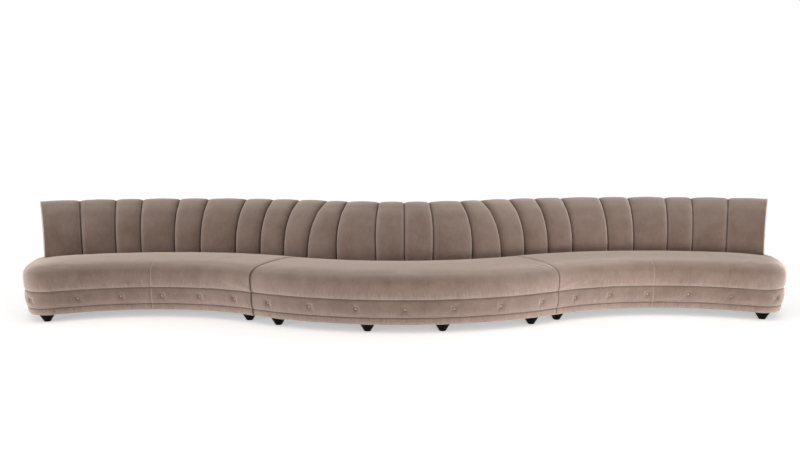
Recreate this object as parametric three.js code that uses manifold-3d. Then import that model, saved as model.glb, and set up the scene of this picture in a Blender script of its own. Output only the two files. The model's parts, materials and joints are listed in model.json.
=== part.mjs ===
// Curved sectional sofa in three modules: a centre module that bows towards the viewer and two side modules
// that sweep forward, with a channelled back, a rounded seat, a buttoned band, a plinth and turned feet.
// Millimetres, +Z up, +X to the right along the length, the front faces -Y. The origin is on the floor, below
// the middle of the bounding box. The left side is the right side mirrored.
import * as THREE from "three";
import { mergeVertices } from "three/addons/utils/BufferGeometryUtils.js";
import Module from "manifold-3d";

const wasm = await Module();
wasm.setup();
const degree = Math.PI / 180;

// Plan of the whole sofa: the fronts are arcs that meet on the two module junctions
const CENTRE_FRONT_RADIUS = 2032;
const SIDE_FRONT_RADIUS = 1410;
const JUNCTION_ANGLE = 32.58 * degree;
const SIDE_BACK_ANGLE = 28.76 * degree;
const JUNCTION_GAP = 3;
const BASE_DEPTH = 750;
const BACK_LEDGE = 10;
const END_OVERHANG = 168;
const END_RADIUS = 1300;
const END_WIDEST_DEPTH = 200;
const FRONT_CORNER_RADIUS = 170;
const REAR_CORNER_RADIUS = 90;

// Heights above the floor
const PLINTH_BOTTOM = 55;
const BAND_BOTTOM = 106;
const SEAT_BOTTOM = 228;
const SEAT_CROWN = 430;
const BACK_TOP = 829;

// Back
const BACK_LEAN = 272;
const CHANNEL_CROWN = 22;
const TOP_ROLL_DEPTH = 47;
const BACK_THICKNESS = 122;

// Covers, pads and frame stock
const FIT_GAP = 0.4;
const CUT_OVERRUN = 40;
const PLINTH_COVER = 14;
const BAND_COVER = 16;
const BAND_TAPER = 10;
const PLINTH_INSET = 14;
const PLINTH_TAPER = 7;
const BACK_PAD = 45;
const BACK_END_WALL = 14;
const BACK_SHEET = 8;
const BACK_PANEL = 18;
const BACK_RAIL_DEPTH = 48;
const BACK_RAIL_HEIGHT = 30;
const BRACKET_LEG = 26;
const BRACKET_SHEET = 3;
const DECK_SHEET = 14;
const BOARD_SHEET = 21;
const BOARD_RAIL = 130;
const BOARD_CROSS_RAIL = 90;
const SEAT_RAIL = 25;
const DUST_SHEET = 2;

// Buttons on the band
const BUTTON_RADIUS = 9;
const BUTTON_RISE = 5;
const BUTTON_RIM = 2;
const BUTTON_SINK = 3;
const SHANK_RADIUS = 2;
const BATTEN_THICKNESS = 5;
const BATTEN_HEIGHT = 30;
const SIDE_BUTTON_PITCH = 295;
const SIDE_FIRST_BUTTON = 162;
const SIDE_BUTTONS = 6;
// A side module's last button stands this far past its pitch, round the corner
const LEFT_LAST_BUTTON_SHIFT = 40;
const RIGHT_LAST_BUTTON_SHIFT = 12;
const CENTRE_BUTTON_PITCH = 335;
const CENTRE_BUTTONS = 7;

// Feet, with a threaded stud that goes up into the base board
const FOOT_TOP_RADIUS = 49.5;
const FOOT_BOTTOM_RADIUS = 23;
const FOOT_EDGE = 4;
const STUD_RADIUS = 4;
const STUD_LENGTH = 20;
const STUD_CLEARANCE = 0.8;
const CENTRE_FOOT_INSET = 85;
const SIDE_FOOT_INSET = 100;
const REAR_FOOT_INSET = 110;

// Connectors under the junctions: a tongue on the centre module slides into a socket on the side module
const TONGUE_WIDTH = 40;
const TONGUE_SHEET = 4;
const TONGUE_DROP = 9;
const TONGUE_REACH = 40;
const CONNECTOR_PLATE = 60;
const SOCKET_SHEET = 3;
const SOCKET_FLANGE = 18;
const CONNECTOR_FRONT_DEPTH = 255;
const CONNECTOR_TO_REAR_FOOT = 85;

// Seat section from the seam at the band to the shoulder: shares of the seat's depth and of its rise
const SEAT_SIDE_SHARES = [
  [-0.003, 0],
  [-0.0146, 0.22],
  [-0.0162, 0.42],
  [-0.0146, 0.57],
  [0.003, 0.69],
  [0.044, 0.797],
  [0.104, 0.871],
];
// Seat top behind the shoulder: shares of the seat's depth and of its rise
const SEAT_TOP_SHARES = [
  [0.104, 0.871],
  [0.173, 0.92],
  [0.293, 0.95],
  [0.466, 0.99],
  [0.69, 1],
];
// The crown falls away from here to the foot of the back
const SEAT_FALL_START_SHARE = 0.7;
const SEAT_FALL_SHARE = 0.095;

// Front of the back along a groove, from the seat up: shares of the lean, of the rise above the seat, and of
// the channels' crown
const BACK_FRONT_SHARES = [
  [0, 0, 1],
  [0.05, 0.26, 1],
  [0.14, 0.452, 1],
  [0.243, 0.586, 1],
  [0.35, 0.684, 1],
  [0.485, 0.792, 1],
  [0.643, 0.871, 0.95],
  [0.81, 0.949, 0.8],
  [1, 1, 0.45],
];
// Top roll behind the groove's end: shares of the roll's depth, of the back's rise, and of the crown
const BACK_ROLL_SHARES = [
  [0.65, 0.994, 0.3],
  [1, 0.945, 0.1],
  [0.7, 0.895, 0],
];
// Rear of the back from the roll down: shares of the lean, of the rise above the seat, behind the foot
const BACK_REAR_SHARES = [
  [0.485, 0.775],
  [0.25, 0.475],
  [0.07, 0.07],
];

// Channel seams of a side back, junction to outer end: shares of its angle, at the seat and at the top
const SIDE_SEAM_FOOT_SHARES = [0, 0.105, 0.207, 0.309, 0.449, 0.546, 0.669, 0.758, 0.875, 1];
const SIDE_SEAM_TOP_SHARES = [0, 0.116, 0.216, 0.316, 0.453, 0.553, 0.678, 0.765, 0.88, 1];
// Channel seams of the centre back from its middle to the junction: shares of the half angle
const CENTRE_SEAM_FOOT_SHARES = [0, 0.268, 0.664, 1];
const CENTRE_SEAM_TOP_SHARES = [0, 0.304, 0.709, 1];
// Section of one channel: shares of its width and of its crown
const CHANNEL_SHARES = [
  [0, 0],
  [0.12, 0.8],
  [0.5, 1],
  [0.88, 0.8],
];
const OUTER_END_CROWN_SHARE = 0.6;

// Rows of the seat grid from front to rear: shares of the depth along a junction
const DEPTH_ROW_SHARES = [0, 0.05, 0.12, 0.23, 0.4, 0.58, 0.76, 0.92, 1];
const ARC_STEPS = 12;
const CORNER_STEPS = 3;
const END_ARC_STEPS = 3;
const REAR_CORNER_STEPS = 2;
// A corner arc's first half belongs to the row along it, its second half to the outer column
const CORNER_HALF = 0.5;
const CROSS_RAIL_COLUMNS = [3, 6, 9];
const FOOT_SEGMENTS = 10;
const BUTTON_SEGMENTS = 6;
const HOLE_SEGMENTS = 6;
// Shoulder of a button's crown: a share of its radius
const BUTTON_SHOULDER_SHARE = 0.85;
// A bend under this sine counts as straight
const STRAIGHT_SHARE = 0.0005;

// Foot places: shares of the junction angle, or of the side back's angle past the straight back
const CENTRE_FRONT_FOOT_SHARES = [-0.844, -0.233, 0.233, 0.844];
const CENTRE_REAR_FOOT_SHARES = [-0.8, 0.8];
const LEFT_INNER_FOOT_SHARE = -0.87;
const RIGHT_INNER_FOOT_SHARE = -0.905;
const SIDE_OUTER_FRONT_FOOT_SHARE = 1.045;
const SIDE_OUTER_REAR_FOOT_SHARE = 0.95;

// Heights and depths that follow
const seatDepth = BASE_DEPTH - BACK_LEDGE - BACK_THICKNESS;
const seatRise = SEAT_CROWN - SEAT_BOTTOM;
const seatRearHeight = SEAT_CROWN - SEAT_FALL_SHARE * seatRise;
const backRise = BACK_TOP - seatRearHeight;
const backRearDepth = seatDepth + BACK_LEAN + TOP_ROLL_DEPTH;
const coverBottom = PLINTH_BOTTOM + FIT_GAP;
const boardBottom = coverBottom + DUST_SHEET + FIT_GAP;
const boardTop = boardBottom + BOARD_SHEET;
const plinthInner = PLINTH_INSET + PLINTH_TAPER + PLINTH_COVER;
const deckBottom = SEAT_BOTTOM - DECK_SHEET;
const upperFloor = SEAT_BOTTOM + FIT_GAP;
const buttonHeight = (BAND_BOTTOM + SEAT_BOTTOM) / 2;

// Arc centres: the side arcs touch the centre arc on the junctions
const centreSpan = CENTRE_FRONT_RADIUS + SIDE_FRONT_RADIUS;
const sideCentreX = centreSpan * Math.sin(JUNCTION_ANGLE);
const sideCentreY = -centreSpan * Math.cos(JUNCTION_ANGLE);

// A module bends around its own arc centre; depth runs from the front arc towards the rear
const centreModule = {
  radius: CENTRE_FRONT_RADIUS,
  sense: -1,
  first: -JUNCTION_ANGLE,
  last: JUNCTION_ANGLE,
  open: false,
  lastButtonShift: 0,
};
const rightModule = {
  radius: SIDE_FRONT_RADIUS,
  sense: 1,
  first: -JUNCTION_ANGLE,
  last: SIDE_BACK_ANGLE,
  open: true,
  lastButtonShift: RIGHT_LAST_BUTTON_SHIFT,
};
// The left module is built like the right one and mirrored at the end
const leftModule = { ...rightModule, lastButtonShift: LEFT_LAST_BUTTON_SHIFT };

// Materials
const velvet = new THREE.MeshStandardMaterial({ color: 0x8d776a, roughness: 0.9, metalness: 0 });
const birchPly = new THREE.MeshStandardMaterial({ color: 0xc9a878, roughness: 0.7, metalness: 0 });
const cambric = new THREE.MeshStandardMaterial({ color: 0x1c1b1b, roughness: 0.95, metalness: 0 });
const blackLacquer = new THREE.MeshStandardMaterial({ color: 0x0c0909, roughness: 0.3, metalness: 0 });
const zincSteel = new THREE.MeshStandardMaterial({ color: 0x9a9c9e, roughness: 0.4, metalness: 0.9 });

function mix(from, to, share) {
  return from + (to - from) * share;
}

// Point at a depth on the radial plane at an angle, moved aside from that plane
function place(module, station, depth) {
  const radius = module.radius + module.sense * depth;
  const angle = station.angle + Math.asin(station.aside / radius);
  return [radius * Math.sin(angle), module.sense * radius * Math.cos(angle)];
}

function firstStation(module, inset) {
  return { angle: module.first, aside: JUNCTION_GAP / 2 + inset };
}

function lastStation(module, inset) {
  const jointShare = module.open ? 0 : JUNCTION_GAP / 2;
  return { angle: module.last, aside: -jointShare - inset };
}

// Planes along a module from one end of its back to the other
function backStations(module, inset) {
  const inner = [];
  for (let i = 1; i < ARC_STEPS; i += 1) {
    inner.push({ angle: mix(module.first, module.last, i / ARC_STEPS), aside: 0 });
  }
  return [firstStation(module, inset), ...inner, lastStation(module, inset)];
}

// Triangles over a closed loop, wound with the loop or against it
function capFaces(loop, flat, withLoop) {
  const contour = flat.map(([u, v]) => new THREE.Vector2(u, v));
  const positive = THREE.ShapeUtils.area(contour) > 0 === withLoop;
  return THREE.ShapeUtils.triangulateShape(contour, []).map(([a, b, c]) => {
    const turn = THREE.ShapeUtils.area([contour[a], contour[b], contour[c]]) > 0;
    return turn === positive ? [loop[a], loop[b], loop[c]] : [loop[a], loop[c], loop[b]];
  });
}

// Wall between two loops of as many points
function wallFaces(low, high) {
  return low.flatMap((start, j) => {
    const next = (j + 1) % low.length;
    return [
      [start, low[next], high[next]],
      [start, high[next], high[j]],
    ];
  });
}

// Geometry of a closed surface, turned so that its faces point out
function closedGeometry(points, faces) {
  const volume = faces.reduce((sum, [a, b, c]) => {
    const [p, q, r] = [points[a], points[b], points[c]].map((v) => new THREE.Vector3(...v));
    return sum + p.dot(q.cross(r));
  }, 0);
  const outward = volume > 0 ? faces : faces.map(([a, b, c]) => [a, c, b]);
  const geometry = new THREE.BufferGeometry();
  geometry.setAttribute("position", new THREE.Float32BufferAttribute(points.flat(), 3));
  geometry.setIndex(outward.flat());
  geometry.computeVertexNormals();
  return geometry;
}

// Skin over rows of loops: capped at both ends, or closed on itself
function skin(rows, flat) {
  const size = rows[0].length;
  const loops = rows.map((row, r) => row.map((_, j) => r * size + j));
  const faces = loops.slice(1).flatMap((loop, r) => wallFaces(loops[r], loop));
  if (flat) {
    faces.push(...capFaces(loops[0], flat, false), ...capFaces(loops.at(-1), flat, true));
  } else {
    faces.push(...wallFaces(loops.at(-1), loops[0]));
  }
  return closedGeometry(rows.flat(), faces);
}

// A section of [depth, height] points swept along a module
function sweep(module, section, stations) {
  const rows = stations.map((station) =>
    section.map(([depth, height]) => [...place(module, station, depth), height]),
  );
  return skin(rows, section);
}

function solidOf(geometry) {
  const bare = geometry.clone();
  bare.deleteAttribute("normal");
  bare.deleteAttribute("uv");
  const merged = mergeVertices(bare);
  return new wasm.Manifold(
    new wasm.Mesh({
      numProp: 3,
      vertProperties: merged.attributes.position.array,
      triVerts: new Uint32Array(merged.index.array),
    }),
  );
}

function geometryOf(solid) {
  const mesh = solid.getMesh();
  const geometry = new THREE.BufferGeometry();
  geometry.setAttribute("position", new THREE.BufferAttribute(mesh.vertProperties, 3));
  geometry.setIndex(new THREE.BufferAttribute(mesh.triVerts, 1));
  geometry.computeVertexNormals();
  return geometry;
}

function piece(name, geometry, material) {
  const mesh = new THREE.Mesh(geometry, material);
  mesh.name = name;
  return mesh;
}

// Plan outline

// Directions at the outer end of a side module: away from the arc centre, and out past the back's end plane
const endOut = [Math.sin(SIDE_BACK_ANGLE), Math.cos(SIDE_BACK_ANGLE)];
const endAlong = [Math.cos(SIDE_BACK_ANGLE), -Math.sin(SIDE_BACK_ANGLE)];

function endPoint(aside, out) {
  return [endOut[0] * out + endAlong[0] * aside, endOut[1] * out + endAlong[1] * aside];
}

// The end bows out in a long arc, widest a little behind the front corner
const endCentre = endPoint(END_OVERHANG - END_RADIUS, SIDE_FRONT_RADIUS + END_WIDEST_DEPTH);

// Centre of a rounded corner between the end arc and a front or rear arc at the given reach
function cornerCentre(reach, radius) {
  const apart = Math.hypot(...endCentre);
  const fromEnd = END_RADIUS - radius;
  const along = (reach * reach - fromEnd * fromEnd + apart * apart) / (2 * apart);
  const across = Math.sqrt(reach * reach - along * along);
  const [ux, uy] = endCentre.map((value) => value / apart);
  return [ux * along + uy * across, uy * along - ux * across];
}

// Direction of one point from another, turning from +Y towards +X
function facing(from, to) {
  return Math.atan2(to[0] - from[0], to[1] - from[1]);
}

const frontCorner = cornerCentre(SIDE_FRONT_RADIUS + FRONT_CORNER_RADIUS, FRONT_CORNER_RADIUS);
const rearCorner = cornerCentre(SIDE_FRONT_RADIUS + BASE_DEPTH - REAR_CORNER_RADIUS, REAR_CORNER_RADIUS);
const frontTangent = facing([0, 0], frontCorner);
const rearTangent = facing([0, 0], rearCorner);
const endStart = facing(endCentre, frontCorner);
const endStop = facing(endCentre, rearCorner);

function arcPoint(centre, radius, turn) {
  return [centre[0] + radius * Math.sin(turn), centre[1] + radius * Math.cos(turn)];
}

// Point of a corner arc, from facing the front (share 0) to facing the end (1)
function frontCornerPoint(inset, share) {
  return arcPoint(frontCorner, FRONT_CORNER_RADIUS - inset, mix(frontTangent + Math.PI, endStart, share));
}

// Point of the rear corner arc, from facing the end (share 0) to facing the rear (1)
function rearCornerPoint(inset, share) {
  return arcPoint(rearCorner, REAR_CORNER_RADIUS - inset, mix(endStop, rearTangent, share));
}

function between(from, to, share) {
  return [mix(from[0], to[0], share), mix(from[1], to[1], share)];
}

// An arc of the outline at one depth, from the first junction to the last angle
function arcPoints(module, depth, jointInset, lastAngle) {
  const points = [place(module, firstStation(module, jointInset), depth)];
  for (let i = 1; i <= ARC_STEPS; i += 1) {
    points.push(place(module, { angle: mix(module.first, lastAngle, i / ARC_STEPS), aside: 0 }, depth));
  }
  return points;
}

// Outer column of a side module: the second half of the front corner, the end arc and half of the rear corner
function openEndColumn(inset) {
  const column = [];
  for (let k = 0; k <= CORNER_STEPS; k += 1) {
    column.push(frontCornerPoint(inset, CORNER_HALF + (CORNER_HALF * k) / CORNER_STEPS));
  }
  for (let k = 1; k <= END_ARC_STEPS; k += 1) {
    column.push(arcPoint(endCentre, END_RADIUS - inset, mix(endStart, endStop, k / END_ARC_STEPS)));
  }
  for (let k = 1; k <= REAR_CORNER_STEPS; k += 1) {
    column.push(rearCornerPoint(inset, (CORNER_HALF * k) / REAR_CORNER_STEPS));
  }
  return column;
}

// The four edges of a module's plan, set in from the outline and from the junction planes
function planEdges(module, inset, jointInset) {
  const rearDepth = BASE_DEPTH - inset;
  const firstPlane = firstStation(module, jointInset);
  const inner = DEPTH_ROW_SHARES.map((share) => place(module, firstPlane, mix(inset, rearDepth, share)));
  if (!module.open) {
    const lastPlane = lastStation(module, jointInset);
    const outer = DEPTH_ROW_SHARES.map((share) => place(module, lastPlane, mix(inset, rearDepth, share)));
    const front = arcPoints(module, inset, jointInset, module.last).slice(0, -1).concat([outer[0]]);
    const rear = arcPoints(module, rearDepth, jointInset, module.last).slice(0, -1).concat([outer.at(-1)]);
    return { front, outer, rear, inner };
  }
  const front = arcPoints(module, inset, jointInset, frontTangent);
  const rear = arcPoints(module, rearDepth, jointInset, rearTangent);
  for (let k = 1; k <= CORNER_STEPS; k += 1) {
    front.push(frontCornerPoint(inset, (CORNER_HALF * k) / CORNER_STEPS));
    rear.push(rearCornerPoint(inset, 1 - (CORNER_HALF * k) / CORNER_STEPS));
  }
  return { front, outer: openEndColumn(inset), rear, inner };
}

// The outline as one loop: front, outer end, rear, junction
function planLoop(edges) {
  return [
    ...edges.front,
    ...edges.outer.slice(1),
    ...edges.rear.slice(0, -1).reverse(),
    ...edges.inner.slice(1, -1).reverse(),
  ];
}

// Grid of plan points that fills the outline, column by column
function planGrid({ front, outer, rear, inner }) {
  const across = front.length - 1;
  const down = inner.length - 1;
  return front.map((frontPoint, i) =>
    inner.map((innerPoint, j) => {
      const u = i / across;
      const v = j / down;
      return [0, 1].map(
        (k) =>
          mix(frontPoint[k], rear[i][k], v) +
          mix(innerPoint[k], outer[j][k], u) -
          mix(mix(front[0][k], front.at(-1)[k], u), mix(rear[0][k], rear.at(-1)[k], u), v),
      );
    }),
  );
}

function pathOf(points) {
  return points.map(([x, y]) => new THREE.Vector2(x, y));
}

// A loop without the points that lie on a straight stretch
function cornersOf(loop) {
  return loop.filter(([x, y], k) => {
    const [before, after] = [loop.at(k - 1), loop[(k + 1) % loop.length]];
    const [ax, ay, bx, by] = [x - before[0], y - before[1], after[0] - x, after[1] - y];
    return Math.abs(ax * by - ay * bx) > STRAIGHT_SHARE * Math.hypot(ax, ay) * Math.hypot(bx, by);
  });
}

// A flat sheet over the plan, with holes
function sheet(loop, holes, bottom, thickness) {
  const shape = new THREE.Shape(pathOf(cornersOf(loop)));
  shape.holes = holes.map((hole) => new THREE.Path(pathOf(cornersOf(hole))));
  const geometry = new THREE.ExtrudeGeometry(shape, { depth: thickness, bevelEnabled: false });
  return geometry.translate(0, 0, bottom);
}

// Openings between the cross rails of a frame that follows the outline
function bays(module, inset, jointInset, crossRail) {
  const edges = planEdges(module, inset, jointInset);
  const ends = [0, ...CROSS_RAIL_COLUMNS, edges.front.length - 1];
  return ends.slice(1).map((to, k) => {
    const from = ends[k];
    const trim = (row, start, next) => {
      const length = Math.hypot(row[next][0] - row[start][0], row[next][1] - row[start][1]);
      return between(row[start], row[next], crossRail / 2 / length);
    };
    const side = (row) => {
      const points = row.slice(from, to + 1);
      if (k > 0) points[0] = trim(row, from, from + 1);
      if (to < edges.front.length - 1) points[points.length - 1] = trim(row, to, to - 1);
      return points;
    };
    const outerEdge = to === edges.front.length - 1 ? edges.outer.slice(1, -1) : [];
    return [...side(edges.front), ...outerEdge, ...side(edges.rear).reverse()];
  });
}

// Base

function bandFace(height) {
  return (BAND_TAPER * (SEAT_BOTTOM - height)) / (SEAT_BOTTOM - BAND_BOTTOM);
}

// A padded cover that runs right round the base: each point is [inset, inset at the junctions, height]
function coverRing(module, profile) {
  const rows = profile.map(([inset, jointInset, height]) =>
    planLoop(planEdges(module, inset, jointInset)).map(([x, y]) => [x, y, height]),
  );
  return skin(rows, null);
}

function plinthCover(module) {
  return coverRing(module, [
    [PLINTH_INSET + PLINTH_TAPER, 0, PLINTH_BOTTOM],
    [PLINTH_INSET, 0, BAND_BOTTOM],
    [plinthInner, PLINTH_COVER, BAND_BOTTOM],
    [plinthInner, PLINTH_COVER, PLINTH_BOTTOM],
  ]);
}

function bandCover(module) {
  const inner = BAND_TAPER + BAND_COVER;
  const bottom = BAND_BOTTOM + FIT_GAP;
  return coverRing(module, [
    [bandFace(bottom), 0, bottom],
    [0, 0, SEAT_BOTTOM],
    [inner, BAND_COVER, SEAT_BOTTOM],
    [inner, BAND_COVER, bottom],
  ]);
}

function dustCover(module, studs) {
  const inset = plinthInner + FIT_GAP;
  const loop = planLoop(planEdges(module, inset, PLINTH_COVER + FIT_GAP));
  return sheet(loop, studs.map(studHole), coverBottom, DUST_SHEET);
}

function baseBoard(module, studs) {
  const inset = plinthInner + FIT_GAP;
  const joint = PLINTH_COVER + FIT_GAP;
  const rail = BOARD_RAIL - inset;
  const holes = boardBays(module, inset + rail, joint + rail);
  const loop = planLoop(planEdges(module, inset, joint));
  return sheet(loop, [...holes, ...studs.map(studHole)], boardBottom, BOARD_SHEET);
}

// The base board's openings stop short of the rounded end, where the board is left whole for the feet
function boardBays(module, depthInset, jointInset) {
  const columns = [0, ...CROSS_RAIL_COLUMNS, ARC_STEPS];
  return columns.slice(1).map((to, k) => {
    const from = columns[k];
    const station = (column, trim) => ({
      angle: mix(module.first, module.last, column / ARC_STEPS),
      aside: trim,
    });
    const start = from === 0 ? firstStation(module, jointInset) : station(from, BOARD_CROSS_RAIL / 2);
    const end = to === ARC_STEPS ? lastStation(module, BOARD_CROSS_RAIL) : station(to, -BOARD_CROSS_RAIL / 2);
    const inner = [];
    for (let column = from + 1; column < to; column += 1) inner.push(station(column, 0));
    const stations = [start, ...inner, end];
    const front = stations.map((s) => place(module, s, depthInset));
    const rear = stations.map((s) => place(module, s, BASE_DEPTH - depthInset));
    return [...front, ...rear.reverse()];
  });
}

function seatFrame(module) {
  const joint = BAND_COVER + FIT_GAP + BATTEN_THICKNESS + FIT_GAP;
  const inset = Math.max(BAND_TAPER + joint, plinthInner + FIT_GAP);
  const loop = planLoop(planEdges(module, inset, joint));
  const openings = bays(module, inset + SEAT_RAIL, joint + SEAT_RAIL, SEAT_RAIL);
  const bottom = boardTop + FIT_GAP;
  return sheet(loop, openings, bottom, deckBottom - FIT_GAP - bottom);
}

function seatDeck(module) {
  const inset = BAND_TAPER + BAND_COVER + FIT_GAP;
  const loop = planLoop(planEdges(module, inset, BAND_COVER + FIT_GAP));
  return sheet(loop, [], deckBottom, DECK_SHEET);
}

// Seat

// Value of a table of [depth share, height share] points at a depth
function tableHeight(shares, depth) {
  const at = depth / seatDepth;
  const k = shares.findIndex(([share]) => share >= at);
  if (k < 0) return shares.at(-1)[1];
  if (k === 0) return shares[0][1];
  const [low, high] = [shares[k - 1], shares[k]];
  return mix(low[1], high[1], (at - low[0]) / (high[0] - low[0]));
}

function seatTopHeight(module, [x, y]) {
  const depth = module.sense * (Math.hypot(x, y) - module.radius);
  const fromEnd = END_RADIUS - Math.hypot(x - endCentre[0], y - endCentre[1]);
  const inside = Math.min(depth, BASE_DEPTH - depth, module.open ? fromEnd : depth);
  const fallStart = SEAT_FALL_START_SHARE * seatDepth;
  const fall = THREE.MathUtils.smoothstep(depth, fallStart, seatDepth) * SEAT_FALL_SHARE;
  const crown = tableHeight(SEAT_TOP_SHARES, inside);
  const lowest = SEAT_TOP_SHARES[0][1];
  return SEAT_BOTTOM + seatRise * Math.max(lowest, crown - fall);
}

// The seat before the back's place is cut out of it
function seatBlock(module) {
  const rings = SEAT_SIDE_SHARES.map(([depthShare, heightShare]) => {
    const loop = planLoop(planEdges(module, depthShare * seatDepth, 0));
    const height = Math.max(upperFloor, SEAT_BOTTOM + heightShare * seatRise);
    return loop.map(([x, y]) => [x, y, height]);
  });
  const bottomEdges = planEdges(module, SEAT_SIDE_SHARES[0][0] * seatDepth, 0);
  const topEdges = planEdges(module, SEAT_SIDE_SHARES.at(-1)[0] * seatDepth, 0);
  rings[rings.length - 1] = planLoop(topEdges).map((point) => [...point, seatTopHeight(module, point)]);
  const size = rings[0].length;
  const loops = rings.map((ring, r) => ring.map((_, j) => r * size + j));
  const faces = loops.slice(1).flatMap((loop, r) => wallFaces(loops[r], loop));
  const points = rings.flat();
  const bottom = gridFaces(bottomEdges, loops[0], points, () => upperFloor);
  const top = gridFaces(topEdges, loops.at(-1), points, (point) => seatTopHeight(module, point));
  return closedGeometry(points, [...faces, ...top, ...bottom.map(([a, b, c]) => [a, c, b])]);
}

// Faces over a plan grid whose rim is a loop of the solid; the grid's inner points are added
function gridFaces(edges, rim, points, heightAt) {
  const grid = planGrid(edges);
  const across = grid.length - 1;
  const down = grid[0].length - 1;
  const numbers = grid.map((column, i) =>
    column.map((point, j) => {
      if (j === 0) return rim[i];
      if (i === across) return rim[across + j];
      if (j === down) return rim[across + down + (across - i)];
      if (i === 0) return rim[2 * across + down + (down - j)];
      points.push([...point, heightAt(point)]);
      return points.length - 1;
    }),
  );
  const faces = [];
  for (let i = 0; i < across; i += 1) {
    for (let j = 0; j < down; j += 1) {
      const [a, b] = [numbers[i][j], numbers[i + 1][j]];
      const [c, d] = [numbers[i + 1][j + 1], numbers[i][j + 1]];
      faces.push([a, b, c], [a, c, d]);
    }
  }
  return faces;
}

// The space that the back takes out of the seat
function backPlace(module) {
  const front = seatDepth - CHANNEL_CROWN - FIT_GAP;
  const rear = BASE_DEPTH + CUT_OVERRUN;
  const section = [
    [front, SEAT_BOTTOM - CUT_OVERRUN],
    [rear, SEAT_BOTTOM - CUT_OVERRUN],
    [rear, SEAT_CROWN + CUT_OVERRUN],
    [front, SEAT_CROWN + CUT_OVERRUN],
  ];
  const stations = channelStations(module).map(({ foot, aside }) => ({ angle: foot, aside }));
  stations[0] = firstStation(module, -CUT_OVERRUN);
  stations[stations.length - 1] = lastStation(module, module.open ? -FIT_GAP : -CUT_OVERRUN);
  return sweep(module, section, stations);
}

function seatCushion(module) {
  return geometryOf(solidOf(seatBlock(module)).subtract(solidOf(backPlace(module))));
}

// Back

// Groove line of the back's front, from its foot on the deck to the roll: [depth, height, crown]
function backFrontLine() {
  const line = BACK_FRONT_SHARES.map(([lean, rise, crown]) => [
    seatDepth + lean * BACK_LEAN,
    seatRearHeight + rise * backRise,
    crown * CHANNEL_CROWN,
  ]);
  return [[seatDepth, upperFloor, line[0][2]], ...line];
}

function backRollLine() {
  return BACK_ROLL_SHARES.map(([depth, rise, crown]) => [
    seatDepth + BACK_LEAN + depth * TOP_ROLL_DEPTH,
    seatRearHeight + rise * backRise,
    crown * CHANNEL_CROWN,
  ]);
}

// Rear line of the back, from the roll down to the deck
function backRearLine() {
  const rearFoot = seatDepth + BACK_THICKNESS;
  const line = BACK_REAR_SHARES.map(([lean, rise]) => [
    rearFoot + lean * BACK_LEAN,
    seatRearHeight + rise * backRise,
    0,
  ]);
  return [...line, [rearFoot, upperFloor, 0]];
}

// A line of [depth, height] points moved sideways, to the right of its run
function moveLine(line, distance) {
  return line.map(([depth, height], k) => {
    const [before, after] = [line[Math.max(k - 1, 0)], line[Math.min(k + 1, line.length - 1)]];
    const run = Math.hypot(after[0] - before[0], after[1] - before[1]);
    return [
      depth + (distance * (after[1] - before[1])) / run,
      height - (distance * (after[0] - before[0])) / run,
    ];
  });
}

// Stations along the channels: angle at the seat, angle at the top, aside and share of the crown
function channelStations(module) {
  const span = module.open ? module.last - module.first : JUNCTION_ANGLE;
  const start = module.open ? module.first : 0;
  const foot = module.open ? SIDE_SEAM_FOOT_SHARES : mirrored(CENTRE_SEAM_FOOT_SHARES);
  const top = module.open ? SIDE_SEAM_TOP_SHARES : mirrored(CENTRE_SEAM_TOP_SHARES);
  const stations = foot.slice(1).flatMap((_, k) =>
    CHANNEL_SHARES.map(([across, crown]) => ({
      foot: start + span * mix(foot[k], foot[k + 1], across),
      top: start + span * mix(top[k], top[k + 1], across),
      aside: 0,
      crown,
    })),
  );
  stations[0].aside = firstStation(module, 0).aside;
  stations.push({
    foot: module.last,
    top: module.last,
    aside: lastStation(module, 0).aside,
    crown: module.open ? OUTER_END_CROWN_SHARE : 0,
  });
  return stations;
}

function mirrored(shares) {
  return [...shares.slice(1).map((share) => -share).reverse(), ...shares];
}

// The whole back with its channels, before the frame's space is cut out of it
function backBlock(module) {
  const line = [...backFrontLine(), ...backRollLine(), ...backRearLine()];
  const section = line.map(([depth, height]) => [depth, height]);
  const proud = moveLine(section, -1).map(([depth, height], k) => [
    depth - section[k][0],
    height - section[k][1],
  ]);
  const rows = channelStations(module).map((station) =>
    line.map(([depth, height, crown], k) => {
      const rise = THREE.MathUtils.clamp((height - seatRearHeight) / backRise, 0, 1);
      const angle = mix(station.foot, station.top, rise);
      const lift = crown * station.crown;
      const plan = place(module, { angle, aside: station.aside }, depth + lift * proud[k][0]);
      return [...plan, height + lift * proud[k][1]];
    }),
  );
  return skin(rows, section);
}

// Inner face of the padding, from the deck up to the roll
function padInnerLine(distance) {
  const front = backFrontLine().map(([depth, height]) => [depth, height]);
  const moved = moveLine(front, BACK_PAD + distance);
  return moved.slice(0, -2);
}

// Frame and padding of the back keep clear of each other by the fit gap
function backCavity(module) {
  const inner = padInnerLine(0);
  const lipHeight = backRearLine()[0][1];
  const rear = backRearDepth + CUT_OVERRUN;
  const section = [
    [inner[0][0], SEAT_BOTTOM - CUT_OVERRUN],
    ...inner.slice(1),
    [rear, lipHeight],
    [rear, SEAT_BOTTOM - CUT_OVERRUN],
  ];
  return sweep(module, section, backStations(module, BACK_END_WALL));
}

function backChannels(module) {
  return geometryOf(solidOf(backBlock(module)).subtract(solidOf(backCavity(module))));
}

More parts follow.
